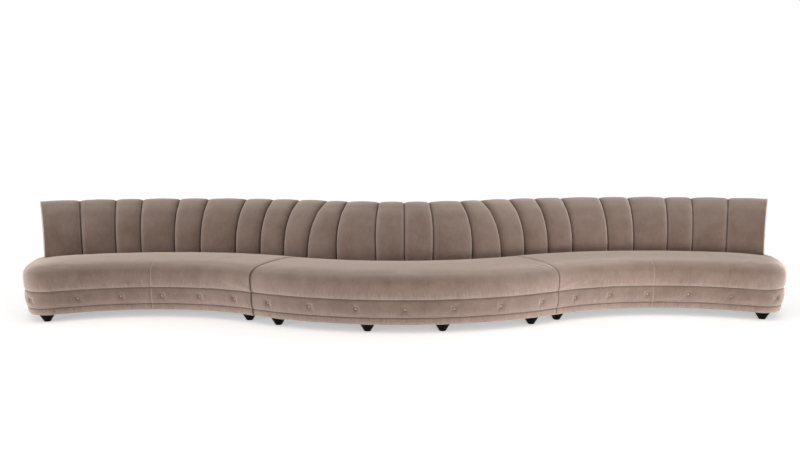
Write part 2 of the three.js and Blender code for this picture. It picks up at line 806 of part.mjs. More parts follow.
// Bent panel with a foot rail, close behind the padding
function backFrame(module) {
  const front = padInnerLine(FIT_GAP).slice(0, -1);
  const rear = padInnerLine(FIT_GAP + BACK_PANEL).slice(0, -1);
  front[0][1] = upperFloor;
  rear[0] = [rear[0][0], upperFloor + BACK_RAIL_HEIGHT];
  const railRear = front[0][0] + BACK_RAIL_DEPTH;
  const section = [
    ...front,
    ...rear.reverse(),
    [railRear, upperFloor + BACK_RAIL_HEIGHT],
    [railRear, upperFloor],
  ];
  return sweep(module, section, backStations(module, BACK_END_WALL + FIT_GAP));
}

// Sheet that closes the back behind, up to the lip of the roll
function outerBack(module) {
  const rear = backRearLine().map(([depth, height]) => [depth, height]);
  const inner = moveLine(rear, BACK_SHEET);
  rear[0][1] -= FIT_GAP;
  inner[0][1] = rear[0][1];
  inner[inner.length - 1][1] = upperFloor;
  return sweep(module, [...rear, ...inner.reverse()], backStations(module, BACK_END_WALL + FIT_GAP));
}

// Steel angle that ties the back's foot rail to the deck
function backBracket(module) {
  const front = seatDepth + BACK_PAD + FIT_GAP + BACK_RAIL_DEPTH + FIT_GAP;
  const bottom = upperFloor;
  const rear = Math.min(front + BRACKET_LEG, seatDepth + BACK_THICKNESS - BACK_SHEET - FIT_GAP);
  const section = [
    [front, bottom],
    [rear, bottom],
    [rear, bottom + BRACKET_SHEET],
    [front + BRACKET_SHEET, bottom + BRACKET_SHEET],
    [front + BRACKET_SHEET, bottom + BRACKET_LEG],
    [front, bottom + BRACKET_LEG],
  ];
  return sweep(module, section, backStations(module, BACK_END_WALL + FIT_GAP));
}

// Buttons

// Place and turn of a point on the band's front line, by its distance along it
function bandPoint(module, along, inset) {
  if (!module.open) {
    const angle = along / CENTRE_FRONT_RADIUS;
    return { point: place(module, { angle, aside: 0 }, inset), turn: angle - Math.PI / 2 };
  }
  const angle = module.first + along / SIDE_FRONT_RADIUS;
  if (angle < frontTangent) {
    return { point: place(module, { angle, aside: 0 }, inset), turn: -Math.PI / 2 - angle };
  }
  const past = along - (frontTangent - module.first) * SIDE_FRONT_RADIUS;
  const share = past / ((frontTangent + Math.PI - endStart) * FRONT_CORNER_RADIUS);
  const turn = Math.PI / 2 - mix(frontTangent + Math.PI, endStart, share);
  return { point: frontCornerPoint(inset, share), turn };
}

function buttonPlaces(module) {
  const count = module.open ? SIDE_BUTTONS : CENTRE_BUTTONS;
  const pitch = module.open ? SIDE_BUTTON_PITCH : CENTRE_BUTTON_PITCH;
  const start = module.open ? SIDE_FIRST_BUTTON : (-pitch * (count - 1)) / 2;
  const face = bandFace(buttonHeight);
  return Array.from({ length: count }, (_, k) => {
    const shift = k === count - 1 ? module.lastButtonShift : 0;
    return bandPoint(module, start + k * pitch + shift, face);
  });
}

// A covered button with its twine shank, along +X from the band's face, grown on all sides for its cut
function buttonShape(grow) {
  const radius = BUTTON_RADIUS + grow;
  const seat = -BUTTON_SINK - grow;
  const rim = BUTTON_RIM - BUTTON_SINK + grow;
  const crown = BUTTON_RISE - BUTTON_SINK + grow;
  const shank = SHANK_RADIUS + grow;
  const end = bandFace(buttonHeight) - BAND_TAPER - BAND_COVER - BATTEN_THICKNESS;
  const profile = [
    [0, end],
    [shank, end],
    [shank, seat],
    [radius, seat],
    [radius * BUTTON_SHOULDER_SHARE, rim],
    [0, crown],
  ];
  const geometry = new THREE.LatheGeometry(
    profile.map(([x, y]) => new THREE.Vector2(x, y)),
    BUTTON_SEGMENTS,
  );
  return geometry.rotateZ(-Math.PI / 2);
}

function buttonSolids(module, grow) {
  return buttonPlaces(module).map(({ point, turn }) =>
    solidOf(buttonShape(grow).rotateZ(turn).translate(point[0], point[1], buttonHeight)),
  );
}

// Batten behind the band that the buttons are tied to
function buttonBatten(module) {
  const near = BAND_TAPER + BAND_COVER + FIT_GAP;
  const far = near + BATTEN_THICKNESS;
  const path = (inset) => {
    const edges = planEdges(module, inset, BAND_COVER + FIT_GAP);
    return module.open ? [...edges.front, ...edges.outer.slice(1, CORNER_STEPS + 1)] : edges.front;
  };
  const low = buttonHeight - BATTEN_HEIGHT / 2;
  const high = buttonHeight + BATTEN_HEIGHT / 2;
  const farPath = path(far);
  const rows = path(near).map(([x, y], k) => [
    [x, y, low],
    [...farPath[k], low],
    [...farPath[k], high],
    [x, y, high],
  ]);
  const flat = [
    [near, low],
    [far, low],
    [far, high],
    [near, high],
  ];
  return skin(rows, flat);
}

function buttonRow(module) {
  return geometryOf(
    buttonSolids(module, 0).reduce((row, button) => row.add(button), solidOf(buttonBatten(module))),
  );
}

function buttonBand(module) {
  return geometryOf(
    buttonSolids(module, FIT_GAP).reduce((band, cut) => band.subtract(cut), solidOf(bandCover(module))),
  );
}

// Feet

function footGeometry() {
  const top = PLINTH_BOTTOM;
  const profile = [
    [0, 0],
    [FOOT_BOTTOM_RADIUS - FOOT_EDGE, 0],
    [FOOT_BOTTOM_RADIUS, FOOT_EDGE],
    [FOOT_TOP_RADIUS, top - FOOT_EDGE],
    [FOOT_TOP_RADIUS, top],
    [STUD_RADIUS, top],
    [STUD_RADIUS, top + STUD_LENGTH],
    [0, top + STUD_LENGTH],
  ];
  return new THREE.LatheGeometry(
    profile.map(([x, y]) => new THREE.Vector2(x, y)),
    FOOT_SEGMENTS,
  ).rotateX(Math.PI / 2);
}

function studHole([x, y]) {
  const radius = STUD_RADIUS + STUD_CLEARANCE;
  return Array.from({ length: HOLE_SEGMENTS }, (_, k) => {
    const angle = (-2 * Math.PI * k) / HOLE_SEGMENTS;
    return [x + radius * Math.cos(angle), y + radius * Math.sin(angle)];
  });
}

function footPlaces(module, innerShare) {
  const at = (angle, depth) => place(module, { angle, aside: 0 }, depth);
  const rearDepth = BASE_DEPTH - REAR_FOOT_INSET;
  if (!module.open) {
    return {
      front: CENTRE_FRONT_FOOT_SHARES.map((share) => at(share * JUNCTION_ANGLE, CENTRE_FOOT_INSET)),
      rear: CENTRE_REAR_FOOT_SHARES.map((share) => at(share * JUNCTION_ANGLE, rearDepth)),
    };
  }
  const inner = innerShare * JUNCTION_ANGLE;
  const outerFront = SIDE_OUTER_FRONT_FOOT_SHARE * SIDE_BACK_ANGLE;
  const outerRear = SIDE_OUTER_REAR_FOOT_SHARE * SIDE_BACK_ANGLE;
  return {
    front: [at(inner, SIDE_FOOT_INSET), at(outerFront, SIDE_FOOT_INSET)],
    rear: [at(inner, rearDepth), at(outerRear, rearDepth)],
  };
}

function feet(prefix, places) {
  return Object.entries(places).flatMap(([row, points]) =>
    points.map(([x, y], k) => {
      const foot = piece(`${prefix}_foot_${row}_${k + 1}`, footGeometry(), blackLacquer);
      foot.position.set(x, y, 0);
      return foot;
    }),
  );
}

// Connectors, in a frame with +X out of the centre module across the junction and +Y towards the rear

function tongue() {
  const top = PLINTH_BOTTOM;
  const low = top - TONGUE_DROP;
  const shape = new THREE.Shape(
    pathOf([
      [-CONNECTOR_PLATE, top - TONGUE_SHEET],
      [-TONGUE_DROP - TONGUE_SHEET, top - TONGUE_SHEET],
      [-TONGUE_SHEET, low - TONGUE_SHEET],
      [TONGUE_REACH, low - TONGUE_SHEET],
      [TONGUE_REACH, low],
      [-TONGUE_SHEET / 2, low],
      [-TONGUE_DROP - TONGUE_SHEET / 2, top],
      [-CONNECTOR_PLATE, top],
    ]),
  );
  const geometry = new THREE.ExtrudeGeometry(shape, { depth: TONGUE_WIDTH, bevelEnabled: false });
  return geometry.translate(0, 0, -TONGUE_WIDTH / 2).rotateX(Math.PI / 2);
}

function socket() {
  const top = PLINTH_BOTTOM;
  const inside = TONGUE_WIDTH / 2 + FIT_GAP;
  const outside = inside + SOCKET_SHEET;
  const flange = outside + SOCKET_FLANGE;
  const floorTop = top - TONGUE_DROP - TONGUE_SHEET - FIT_GAP;
  const half = [
    [flange, top],
    [flange, top - SOCKET_SHEET],
    [outside, top - SOCKET_SHEET],
    [outside, floorTop - SOCKET_SHEET],
  ];
  const inner = [
    [inside, floorTop],
    [inside, top],
  ];
  const mirrorHalf = (points) => points.map(([y, z]) => [-y, z]).reverse();
  const shape = new THREE.Shape(pathOf([...half, ...mirrorHalf(half), ...mirrorHalf(inner), ...inner]));
  const start = JUNCTION_GAP / 2 + PLINTH_COVER;
  const geometry = new THREE.ExtrudeGeometry(shape, { depth: CONNECTOR_PLATE, bevelEnabled: false });
  return geometry
    .rotateX(Math.PI / 2)
    .rotateZ(Math.PI / 2)
    .translate(start, 0, 0);
}

// Tongues and sockets of the right junction, in the sofa's frame about the centre arc's centre
function connectors(prefix) {
  const rear = BASE_DEPTH - REAR_FOOT_INSET - CONNECTOR_TO_REAR_FOOT;
  return Object.entries({ front: CONNECTOR_FRONT_DEPTH, rear }).flatMap(([row, depth]) => {
    const halves = [
      piece(`${prefix}_connector_tongue_${row}`, tongue(), zincSteel),
      piece(`${prefix}_connector_socket_${row}`, socket(), zincSteel),
    ];
    halves.forEach((half) => {
      const [x, y] = place(centreModule, { angle: JUNCTION_ANGLE, aside: 0 }, depth);
      half.position.set(x, y, 0);
      half.rotation.z = JUNCTION_ANGLE;
    });
    return halves;
  });
}

// Assembly

function moduleGroup(prefix, module, innerFootShare) {
  const group = new THREE.Group();
  const places = footPlaces(module, innerFootShare);
  const studs = Object.values(places).flat();
  group.add(
    piece(`${prefix}_dust_cover`, dustCover(module, studs), cambric),
    piece(`${prefix}_base_board`, baseBoard(module, studs), birchPly),
    piece(`${prefix}_seat_frame`, seatFrame(module), birchPly),
    piece(`${prefix}_seat_deck`, seatDeck(module), birchPly),
    piece(`${prefix}_plinth_cover`, plinthCover(module), velvet),
    piece(`${prefix}_button_band`, buttonBand(module), velvet),
    piece(`${prefix}_button_row`, buttonRow(module), velvet),
    piece(`${prefix}_seat_cushion`, seatCushion(module), velvet),
    piece(`${prefix}_back_frame`, backFrame(module), birchPly),
    piece(`${prefix}_back_bracket`, backBracket(module), zincSteel),
    piece(`${prefix}_back_channels`, backChannels(module), velvet),
    piece(`${prefix}_outer_back`, outerBack(module), velvet),
    ...feet(prefix, places),
  );
  return group;
}

// One side with its connectors, to the right of the centre module
function sideGroup(prefix, module, innerFootShare) {
  const group = new THREE.Group();
  const side = moduleGroup(prefix, module, innerFootShare);
  side.position.set(sideCentreX, sideCentreY, 0);
  group.add(side, ...connectors(prefix));
  return group;
}

const sofa = new THREE.Group();
const left = sideGroup("left", leftModule, LEFT_INNER_FOOT_SHARE);
left.scale.x = -1;
const right = sideGroup("right", rightModule, RIGHT_INNER_FOOT_SHARE);
sofa.add(moduleGroup("centre", centreModule), left, right);

// The origin goes below the middle of the box
const box = new THREE.Box3().setFromObject(sofa, true);
sofa.position.y = -(box.min.y + box.max.y) / 2;

export default sofa;
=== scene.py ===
import json
import math

import bpy
import numpy as np
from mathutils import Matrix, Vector, noise


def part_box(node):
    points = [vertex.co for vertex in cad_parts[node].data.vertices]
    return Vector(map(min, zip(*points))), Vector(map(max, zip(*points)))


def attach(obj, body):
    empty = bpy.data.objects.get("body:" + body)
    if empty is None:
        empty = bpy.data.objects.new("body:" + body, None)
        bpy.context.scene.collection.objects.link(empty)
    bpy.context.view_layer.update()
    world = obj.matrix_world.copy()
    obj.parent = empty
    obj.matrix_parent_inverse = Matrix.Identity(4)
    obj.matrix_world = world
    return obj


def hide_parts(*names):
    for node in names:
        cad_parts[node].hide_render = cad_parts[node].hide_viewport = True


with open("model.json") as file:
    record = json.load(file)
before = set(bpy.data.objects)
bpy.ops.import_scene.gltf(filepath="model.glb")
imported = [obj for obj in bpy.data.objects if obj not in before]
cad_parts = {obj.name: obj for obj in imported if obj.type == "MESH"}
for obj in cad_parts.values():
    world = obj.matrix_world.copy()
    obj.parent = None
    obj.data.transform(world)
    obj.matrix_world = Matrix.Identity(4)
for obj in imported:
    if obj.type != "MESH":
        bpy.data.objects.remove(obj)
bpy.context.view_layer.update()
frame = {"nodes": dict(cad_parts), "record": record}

bl_info = {
    "name": "Curved Modular Sofa",
    "version": (1, 0, 0),
    "blender": (4, 5, 0),
    "location": "View3D > Sidebar > Sofa",
    "description": "Builds a curved velvet sofa in three modules with a channelled back and a buttoned band",
    "category": "Add Mesh",
}

# What one module's upholstery and woodwork stand on, read from the frame
FLOOR_TO_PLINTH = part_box("centre_plinth_cover")[0].z
FLOOR_TO_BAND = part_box("centre_plinth_cover")[1].z
FLOOR_TO_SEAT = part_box("centre_seat_deck")[1].z
FLOOR_TO_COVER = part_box("centre_dust_cover")[0].z
MODULES = ("centre", "left", "right")

# Seat section from the seam at the band to the crown: shares of the seat's depth and of its rise
SEAT_SHARES = (
    (0.024, 0.0), (0.010, 0.008), (0.002, 0.032), (-0.0075, 0.10), (-0.0140, 0.24), (-0.0162, 0.42),
    (-0.0142, 0.57), (0.003, 0.69), (0.044, 0.797), (0.104, 0.871), (0.173, 0.917), (0.293, 0.955),
    (0.466, 0.99), (0.69, 1.0), (1.3, 1.0),
)
SHOULDER_SHARE = 0.104
FALL_START_SHARE = 0.7
FALL_SHARE = 0.095

# Groove line of the back's front, from the seat up and over the roll: shares of the lean, of the rise
# above the seat, and of the channels' crown
FRONT_SHARES = (
    (0, 0, 1), (0.05, 0.26, 1), (0.14, 0.452, 1), (0.243, 0.586, 1), (0.35, 0.684, 1),
    (0.485, 0.792, 1), (0.643, 0.871, 0.9), (0.81, 0.949, 0.66), (1, 1, 0.3),
)
# Roll behind it: shares of the roll's depth, of the rise and of the crown
ROLL_SHARES = ((0.65, 0.994, 0.22), (1, 0.945, 0.1), (0.7, 0.895, 0))
# Rear of the back: shares of the lean and of the rise
REAR_SHARES = ((0.485, 0.775), (0.25, 0.475), (0.07, 0.07))
# Channel seams: shares of the side back's angle from the junction, and of half the centre back's angle
SIDE_SEAM_FOOT_SHARES = (0, 0.105, 0.207, 0.309, 0.449, 0.546, 0.669, 0.758, 0.875, 1)
SIDE_SEAM_TOP_SHARES = (0, 0.116, 0.216, 0.316, 0.453, 0.553, 0.678, 0.765, 0.88, 1)
CENTRE_SEAM_FOOT_SHARES = (-1, -0.664, -0.268, 0, 0.268, 0.664, 1)
CENTRE_SEAM_TOP_SHARES = (-1, -0.709, -0.304, 0, 0.304, 0.709, 1)
# Columns across one channel: shares of its width, close together beside the grooves
CHANNEL_COLUMN_SHARES = (
    0, 0.012, 0.03, 0.06, 0.11, 0.18, 0.27, 0.38, 0.5, 0.62, 0.73, 0.82, 0.89, 0.94, 0.97, 0.988,
)

COLUMN_COUNT = 110
CORNER_COUNT = 8
BAND_CORNER_COUNT = 22
END_COUNT = 22
REAR_CORNER_COUNT = 6
SMOOTH_ANGLE = math.radians(42)
# Edges sharper than these are rounded, on a cover and on a turned foot
COVER_EDGE_ANGLE = math.radians(55)
TURNED_EDGE_ANGLE = math.radians(25)


def linear(hex_colour):
    """Linear red, green and blue of an sRGB hex colour."""
    channels = [int(hex_colour[k:k + 2], 16) / 255 for k in (1, 3, 5)]
    return tuple(c / 12.92 if c <= 0.04045 else ((c + 0.055) / 1.055) ** 2.4 for c in channels)


def length(name, description, default):
    return bpy.props.FloatProperty(
        name=name, description=description, default=default, unit="LENGTH", subtype="DISTANCE", precision=4,
    )


def angle(name, description, degrees):
    return bpy.props.FloatProperty(
        name=name, description=description, default=math.radians(degrees), unit="ROTATION", subtype="ANGLE",
    )


def share(name, description, default):
    return bpy.props.FloatProperty(
        name=name, description=description, default=default, min=0, soft_max=1, subtype="FACTOR",
    )


def power(name, description, default):
    return bpy.props.FloatProperty(name=name, description=description, default=default, unit="POWER")


def colour(name, description, hex_colour):
    return bpy.props.FloatVectorProperty(
        name=name, description=description, default=linear(hex_colour), size=3, min=0, max=1, subtype="COLOR",
    )


class SofaPlan(bpy.types.PropertyGroup):
    """Plan of the sofa: the modules' arcs, corners and junctions."""

    centre_radius: length("Centre radius", "Radius of the centre module's front arc", 2.032)
    side_radius: length("Side radius", "Radius of a side module's front arc", 1.41)
    junction_angle: angle("Junction angle", "Half the centre module's angle", 32.58)
    side_back_angle: angle("Side back angle", "Where a side back ends, past straight back", 28.76)
    junction_gap: length("Junction gap", "Space between two modules", 0.003)
    base_depth: length("Base depth", "Depth of the base from front to rear", 0.75)
    end_overhang: length("End overhang", "Reach of the base past the end of the back", 0.168)
    end_radius: length("End radius", "Radius of the bowed outer end", 1.3)
    end_widest_depth: length("Widest depth", "Depth at which the outer end is widest", 0.2)
    front_corner_radius: length("Front corner radius", "Radius of the front outer corner", 0.17)
    rear_corner_radius: length("Rear corner radius", "Radius of the rear outer corner", 0.09)


class SofaUpholstery(bpy.types.PropertyGroup):
    """Sizes of the seats, backs, bands and buttons."""

    seat_crown: length("Seat crown", "Height of the seat's crown", 0.43)
    seat_depth: length("Seat depth", "Depth of the seat in front of the back", 0.618)
    back_top: length("Back top", "Height of the back at its grooves", 0.829)
    back_lean: length("Back lean", "How far the back leans", 0.272)
    back_thickness: length("Back thickness", "Thickness of the back at its foot", 0.122)
    roll_depth: length("Roll depth", "Depth of the rolled top", 0.047)
    channel_crown: length("Channel crown", "Height of the channels above their grooves", 0.026)
    groove_depth: length("Groove depth", "How far a sewn groove draws in", 0.023)
    groove_width: length("Groove width", "Half width of a sewn groove", 0.012)
    # Painted shade: the dark line at the bottom of each groove is this wide
    painted_groove_shade_width: length("Stitch width", "Half width of the dark line at the bottom of a groove", 0.005)
    pad_depth: length("Pad depth", "Thickness of the back's padding", 0.045)
    end_wall: length("End wall", "Thickness of the back's closed ends", 0.014)
    outer_sheet: length("Outer back", "Thickness of the panel behind the back", 0.008)
    fit_gap: length("Fit gap", "Clearance between pieces", 0.0004)
    seam_gap: length("Seam gap", "Clearance between the seat and the foot of the back", 0.0015)
    band_taper: length("Band taper", "How far the band leans in at its foot", 0.01)
    band_cover: length("Band cover", "Thickness of the band's padding", 0.016)
    band_bulge: length("Band bulge", "How far the band swells between its seams", 0.006)
    plinth_inset: length("Plinth inset", "How far the plinth stands back at its top", 0.014)
    plinth_taper: length("Plinth taper", "How much further the plinth stands back at its foot", 0.007)
    plinth_cover: length("Plinth cover", "Thickness of the plinth's padding", 0.014)
    plinth_bulge: length("Plinth bulge", "How far the plinth swells between its seams", 0.003)
    edge_roll: length("Edge roll", "Radius of a cover's turned edge", 0.008)
    junction_ease: length("Junction ease", "How far a cover stands back at a junction", 0.001)
    junction_roll: length("Junction roll", "Radius of a seat's and a back's edges at the junctions", 0.008)
    seam_sink: length("Seam sink", "Depth of the seam across a module's front", 0.0035)
    seam_reach: length("Seam reach", "Half width of the seam across a module's front", 0.006)
    tuft_depth: length("Tuft depth", "How far a button draws the band in", 0.0105)
    tuft_reach: length("Tuft reach", "Radius of the hollow round a button", 0.019)
    pucker_depth: length("Pucker depth", "Depth of the creases round a button", 0.0012)
    pucker_reach: length("Pucker reach", "Length of the creases round a button", 0.036)
    button_radius: length("Button radius", "Radius of a covered button", 0.010)
    button_rise: length("Button rise", "Height of a covered button", 0.0065)
    button_pitch_side: length("Side pitch", "Distance between a side module's buttons", 0.295)
    button_first_side: length("First side button", "From the junction to the first button", 0.162)
    button_pitch_centre: length("Centre pitch", "Distance between the centre module's buttons", 0.335)
    cloth_wave: length("Cloth wave", "Height of the slow unevenness of stretched cloth", 0.0011)
    seat_swell: length("Seat swell", "How far the seat's cover may swell over its filling", 0.006)
    back_swell: length("Back swell", "How far a channel may swell over its filling", 0.006)
    band_swell: length("Band swell", "How far the band may swell over its filling", 0.003)


class SofaFeet(bpy.types.PropertyGroup):
    """Sizes of the turned feet."""

    top_radius: length("Top radius", "Radius of a foot under the plinth", 0.051)
    bottom_radius: length("Bottom radius", "Radius of a foot on the floor", 0.0235)
    collar: length("Collar", "Height of the straight collar at the top", 0.009)
    edge: length("Edge", "Width of the turned edges", 0.0025)
    stud_radius: length("Stud radius", "Radius of the threaded stud", 0.004)
    stud_length: length("Stud length", "Length of the threaded stud", 0.02)


class SofaFinish(bpy.types.PropertyGroup):
    """Colours and finishes."""

    # The velvet's colour goes from deep, where its surface faces the eye, to a pale painted sheen where it is
    # seen from its side
    velvet_deep: colour("Velvet, deep", "Velvet where the pile stands towards the eye", "#58453a")
    velvet_painted_sheen: colour("Velvet, pale", "Velvet where the pile is seen from its side", "#a18d82")
    velvet_sheen: colour("Velvet sheen", "Light on the tips of the pile", "#f1dfd2")
    # Painted shade in grooves, seams, junctions and round the buttons
    velvet_painted_shade: colour("Velvet crease", "Crushed pile in grooves and seams", "#2e1206")
    # Paler painted sheen on the buttons, which paints a highlight on their domes
    button_painted_sheen: colour("Stretched velvet", "Open pile on the buttons", "#ac9a8b")
    cambric: colour("Cambric", "Dust cover under the base", "#1c1b1b")
    birch_pale: colour("Birch, pale", "Early wood of the plywood", "#d2b68b")
    birch_dark: colour("Birch, dark", "Late wood and glue lines of the plywood", "#a47f52")
    lacquer: colour("Lacquer", "Black lacquer of the feet", "#070505")
    zinc: colour("Zinc", "Zinc plate of the brackets and connectors", "#9a9c9e")
    floor: colour("Floor", "Studio floor", "#f4f3f2")
    floor_light: colour("Floor light", "Light that the lit floor throws up", "#eaf0f8")


class SofaStage(bpy.types.PropertyGroup):
    """Camera and light."""

    eye: bpy.props.FloatVectorProperty(
        name="Eye", description="Place of the camera", default=(-0.0305, -5.6869, 1.2008), size=3,
        unit="LENGTH", subtype="TRANSLATION",
    )
    pitch: angle("Pitch", "How far the camera looks down", 5.57)
    roll: angle("Roll", "How far the camera leans sideways", 0.19)
    lens: bpy.props.FloatProperty(
        name="Lens", description="Focal length on a 36 mm wide picture", default=33.75, unit="CAMERA",
    )
    sky: share("Sky", "Strength of the even light from all round", 0.57)
    key_power: power("Key power", "Power of the large soft box above", 8)
    fill_power: power("Fill power", "Power of the soft box beside the camera", 29)
    low_power: power("Low power", "Power of the low soft box at the right", 12)
    left_power: power("Left power", "Power of the soft box past the left end", 95)
    right_power: power("Right power", "Power of the soft box past the right end", 8)
    floor_glow: share("Floor glow", "How much of the far floor's white is its own in the picture", 0.5)
    floor_glow_near: share("Floor glow, near", "The same beside the sofa, where the lamps reach", 0.43)
    floor_bounce: share("Floor bounce", "Light that the brightly lit floor throws up", 0.78)


PROPERTY_GROUPS = {
    "sofa_plan": SofaPlan,
    "sofa_upholstery": SofaUpholstery,
    "sofa_feet": SofaFeet,
    "sofa_finish": SofaFinish,
    "sofa_stage": SofaStage,
}


def plan_sizes():
    return bpy.context.scene.sofa_plan


def upholstery():
    return bpy.context.scene.sofa_upholstery


# Plan

def arc_point(centre, radius, turn):
    """Point of an arc, turning from +Y towards +X."""
    turn = np.asarray(turn, float)
    return np.stack([centre[0] + radius * np.sin(turn), centre[1] + radius * np.cos(turn)], -1)


def facing(start, end):
    """Direction of one point from another, turning from +Y towards +X."""
    return math.atan2(end[0] - start[0], end[1] - start[1])


class Module:
    """Plan of one module about the centre of its own arcs. The left module is the right one mirrored."""

    def __init__(self, name, tufted=False):
        plan = plan_sizes()
        self.name = name
        self.tufted = tufted
        self.corner_count = BAND_CORNER_COUNT if tufted else CORNER_COUNT
        self.open = name != "centre"
        self.side = -1 if name == "left" else 1
        self.radius = plan.side_radius if self.open else plan.centre_radius
        self.sense = 1 if self.open else -1
        self.first = -plan.junction_angle
        self.last = plan.side_back_angle if self.open else plan.junction_angle
        self.centre = self.arc_centre(plan)
        self.seam_angle = SEAM_SHIFTS.get(name, 0.0) / self.radius
        if self.open:
            self.shape_open_end(plan)
        self.front_last = self.front_tangent if self.open else self.last
        self.rear_last = self.rear_tangent if self.open else self.last
        self.front_angles = self.spread(self.front_last)
        stops = [self.first, self.seam_angle, self.front_last]
        self.rear_angles = np.interp(self.front_angles, stops, [self.first, self.seam_angle, self.rear_last])

    def arc_centre(self, plan):
        """Centre of the module's arcs: the side arcs touch the centre arc on the junctions."""
        mounts = {m["name"]: m["pos_m"] for m in frame["record"]["mounts"]}
        foot_x, foot_y, _ = mounts["centre_foot_front_3_face"]
        reach = plan.centre_radius - CENTRE_FOOT_INSET
        centre_y = foot_y + math.sqrt(reach * reach - foot_x * foot_x)
        if not self.open:
            return np.array([0.0, centre_y])
        span = plan.centre_radius + plan.side_radius
        turn = plan.junction_angle
        return np.array([span * math.sin(turn), centre_y - span * math.cos(turn)])

    def shape_open_end(self, plan):
        out = plan.side_radius + plan.end_widest_depth
        aside = plan.end_overhang - plan.end_radius
        sine, cosine = math.sin(plan.side_back_angle), math.cos(plan.side_back_angle)
        self.end_centre = (sine * out + cosine * aside, cosine * out - sine * aside)
        front_reach = plan.side_radius + plan.front_corner_radius
        rear_reach = plan.side_radius + plan.base_depth - plan.rear_corner_radius
        self.front_corner = self.corner_centre(front_reach, plan.end_radius - plan.front_corner_radius)
        self.rear_corner = self.corner_centre(rear_reach, plan.end_radius - plan.rear_corner_radius)
        self.front_tangent = facing((0, 0), self.front_corner)
        self.rear_tangent = facing((0, 0), self.rear_corner)
        self.end_start = facing(self.end_centre, self.front_corner)
        self.end_stop = facing(self.end_centre, self.rear_corner)

    def corner_centre(self, reach, from_end):
        """Centre of a rounded corner between the end arc and the front or rear arc."""
        apart = math.hypot(*self.end_centre)
        along = (reach * reach - from_end * from_end + apart * apart) / (2 * apart)
        across = math.sqrt(reach * reach - along * along)
        ux, uy = (value / apart for value in self.end_centre)
        return (ux * along + uy * across, uy * along - ux * across)

    def spread(self, last):
        """Angles of the columns, even but for close sets of columns beside the seam and the buttons."""
        reach = upholstery().seam_reach / self.radius
        close = self.seam_angle + reach * np.array(SEAM_COLUMNS)
        if self.tufted:
            beside = np.array(BUTTON_COLUMNS) / self.radius
            sets = [turn + beside for turn in button_angles(self) if abs(turn - self.seam_angle) > beside[-1]]
            close = np.concatenate([close, *sets])
        close = close[(close > self.first) & (close < last)]
        even = np.linspace(self.first, last, COLUMN_COUNT)
        apart = np.abs(even[1:-1, None] - close).min(axis=1) > CLOSE_SHARE * reach
        return np.sort(np.concatenate([even[[0, -1]], even[1:-1][apart], close]))

    def place(self, angles, aside, depth):
        """Points at a depth on the radial planes at some angles, moved aside from those planes."""
        radius = self.radius + self.sense * np.asarray(depth, float)
        turned = np.asarray(angles, float) + np.arcsin(np.asarray(aside, float) / radius)
        return np.stack([radius * np.sin(turned), self.sense * radius * np.cos(turned)], -1)

    def ends_of(self, count, inset):
        """Aside values of a row of columns: only its ends at a junction stand aside."""
        aside = np.zeros(count)
        gap = plan_sizes().junction_gap / 2 + upholstery().junction_ease + inset
        aside[0] = gap
        if not self.open:
            aside[-1] = -gap
        return aside

    def edges(self, inset, joint=0.0):
        """The four edges of the plan, set in from the outline and from the junctions."""
        plan = plan_sizes()
        rear_depth = plan.base_depth - inset
        rows = self.corner_count + END_COUNT + REAR_CORNER_COUNT + 1
        depths = np.linspace(inset, rear_depth, rows)
        gap = plan.junction_gap / 2 + upholstery().junction_ease + joint
        inner = self.place(self.first, gap, depths)
        front = self.place(self.front_angles, self.ends_of(len(self.front_angles), joint), inset)
        rear = self.place(self.rear_angles, self.ends_of(len(self.rear_angles), joint), rear_depth)
        if not self.open:
            return front, self.place(self.last, -gap, depths), rear, inner
        half = np.linspace(0, 0.5, self.corner_count + 1)
        front = np.concatenate([front, self.front_corner_point(inset, half[1:])])
        rear = np.concatenate([rear, self.rear_corner_point(inset, 1 - half[1:])])
        turns = np.linspace(self.end_start, self.end_stop, END_COUNT + 1)[1:]
        rear_half = np.linspace(0, 0.5, REAR_CORNER_COUNT + 1)[1:]
        outer = np.concatenate([
            self.front_corner_point(inset, 0.5 + half),
            arc_point(self.end_centre, plan.end_radius - inset, turns),
            self.rear_corner_point(inset, rear_half),
        ])
        return front, outer, rear, inner

    def front_corner_point(self, inset, shares):
        turn = self.front_tangent + math.pi
        radius = plan_sizes().front_corner_radius - inset
        return arc_point(self.front_corner, radius, turn + (self.end_start - turn) * np.asarray(shares))

    def rear_corner_point(self, inset, shares):
        radius = plan_sizes().rear_corner_radius - inset
        turn = self.end_stop + (self.rear_tangent - self.end_stop) * np.asarray(shares)
        return arc_point(self.rear_corner, radius, turn)

    def loop(self, inset, joint=0.0):
        """The outline as one loop: front, outer end, rear, junction."""
        front, outer, rear, inner = self.edges(inset, joint)
        return np.concatenate([front, outer[1:], rear[-2::-1], inner[-2:0:-1]])

    def depth_of(self, points):
        return self.sense * (np.hypot(points[..., 0], points[..., 1]) - self.radius)

    def angle_of(self, points):
        return np.arctan2(points[..., 0], self.sense * points[..., 1])

    def seat_inside(self, points):
        """Distance of plan points from the front, rear or rounded end, smooth where two are equally near."""
        plan = plan_sizes()
        depth = self.depth_of(points)
        nearness = np.exp(-depth / INSIDE_BLEND) + np.exp((depth - plan.base_depth) / INSIDE_BLEND)
        if self.open:
            apart = np.hypot(points[..., 0] - self.end_centre[0], points[..., 1] - self.end_centre[1])
            nearness = nearness + np.exp((apart - plan.end_radius) / INSIDE_BLEND)
        return -INSIDE_BLEND * np.log(nearness)

    def from_joints(self, points):
        """Distance of plan points from the plane of the nearest junction."""
        apart = plane_distance(points, self.first, self.sense)
        if not self.open:
            apart = np.minimum(apart, plane_distance(points, -self.last, self.sense, mirror=True))
        return apart

    def joint_crease(self, points):
        """How deep points on a junction face lie in shade, and 0 for all others."""
        edge = plan_sizes().junction_gap / 2 + upholstery().junction_ease + JOINT_REACH
        shade = JOINT_SHADES.get(self.name)
        if shade is None:
            shade = np.where(points[..., 0] < 0, JOINT_SHADES["left"], JOINT_SHADES["right"])
        return shade * (self.from_joints(points) < edge)

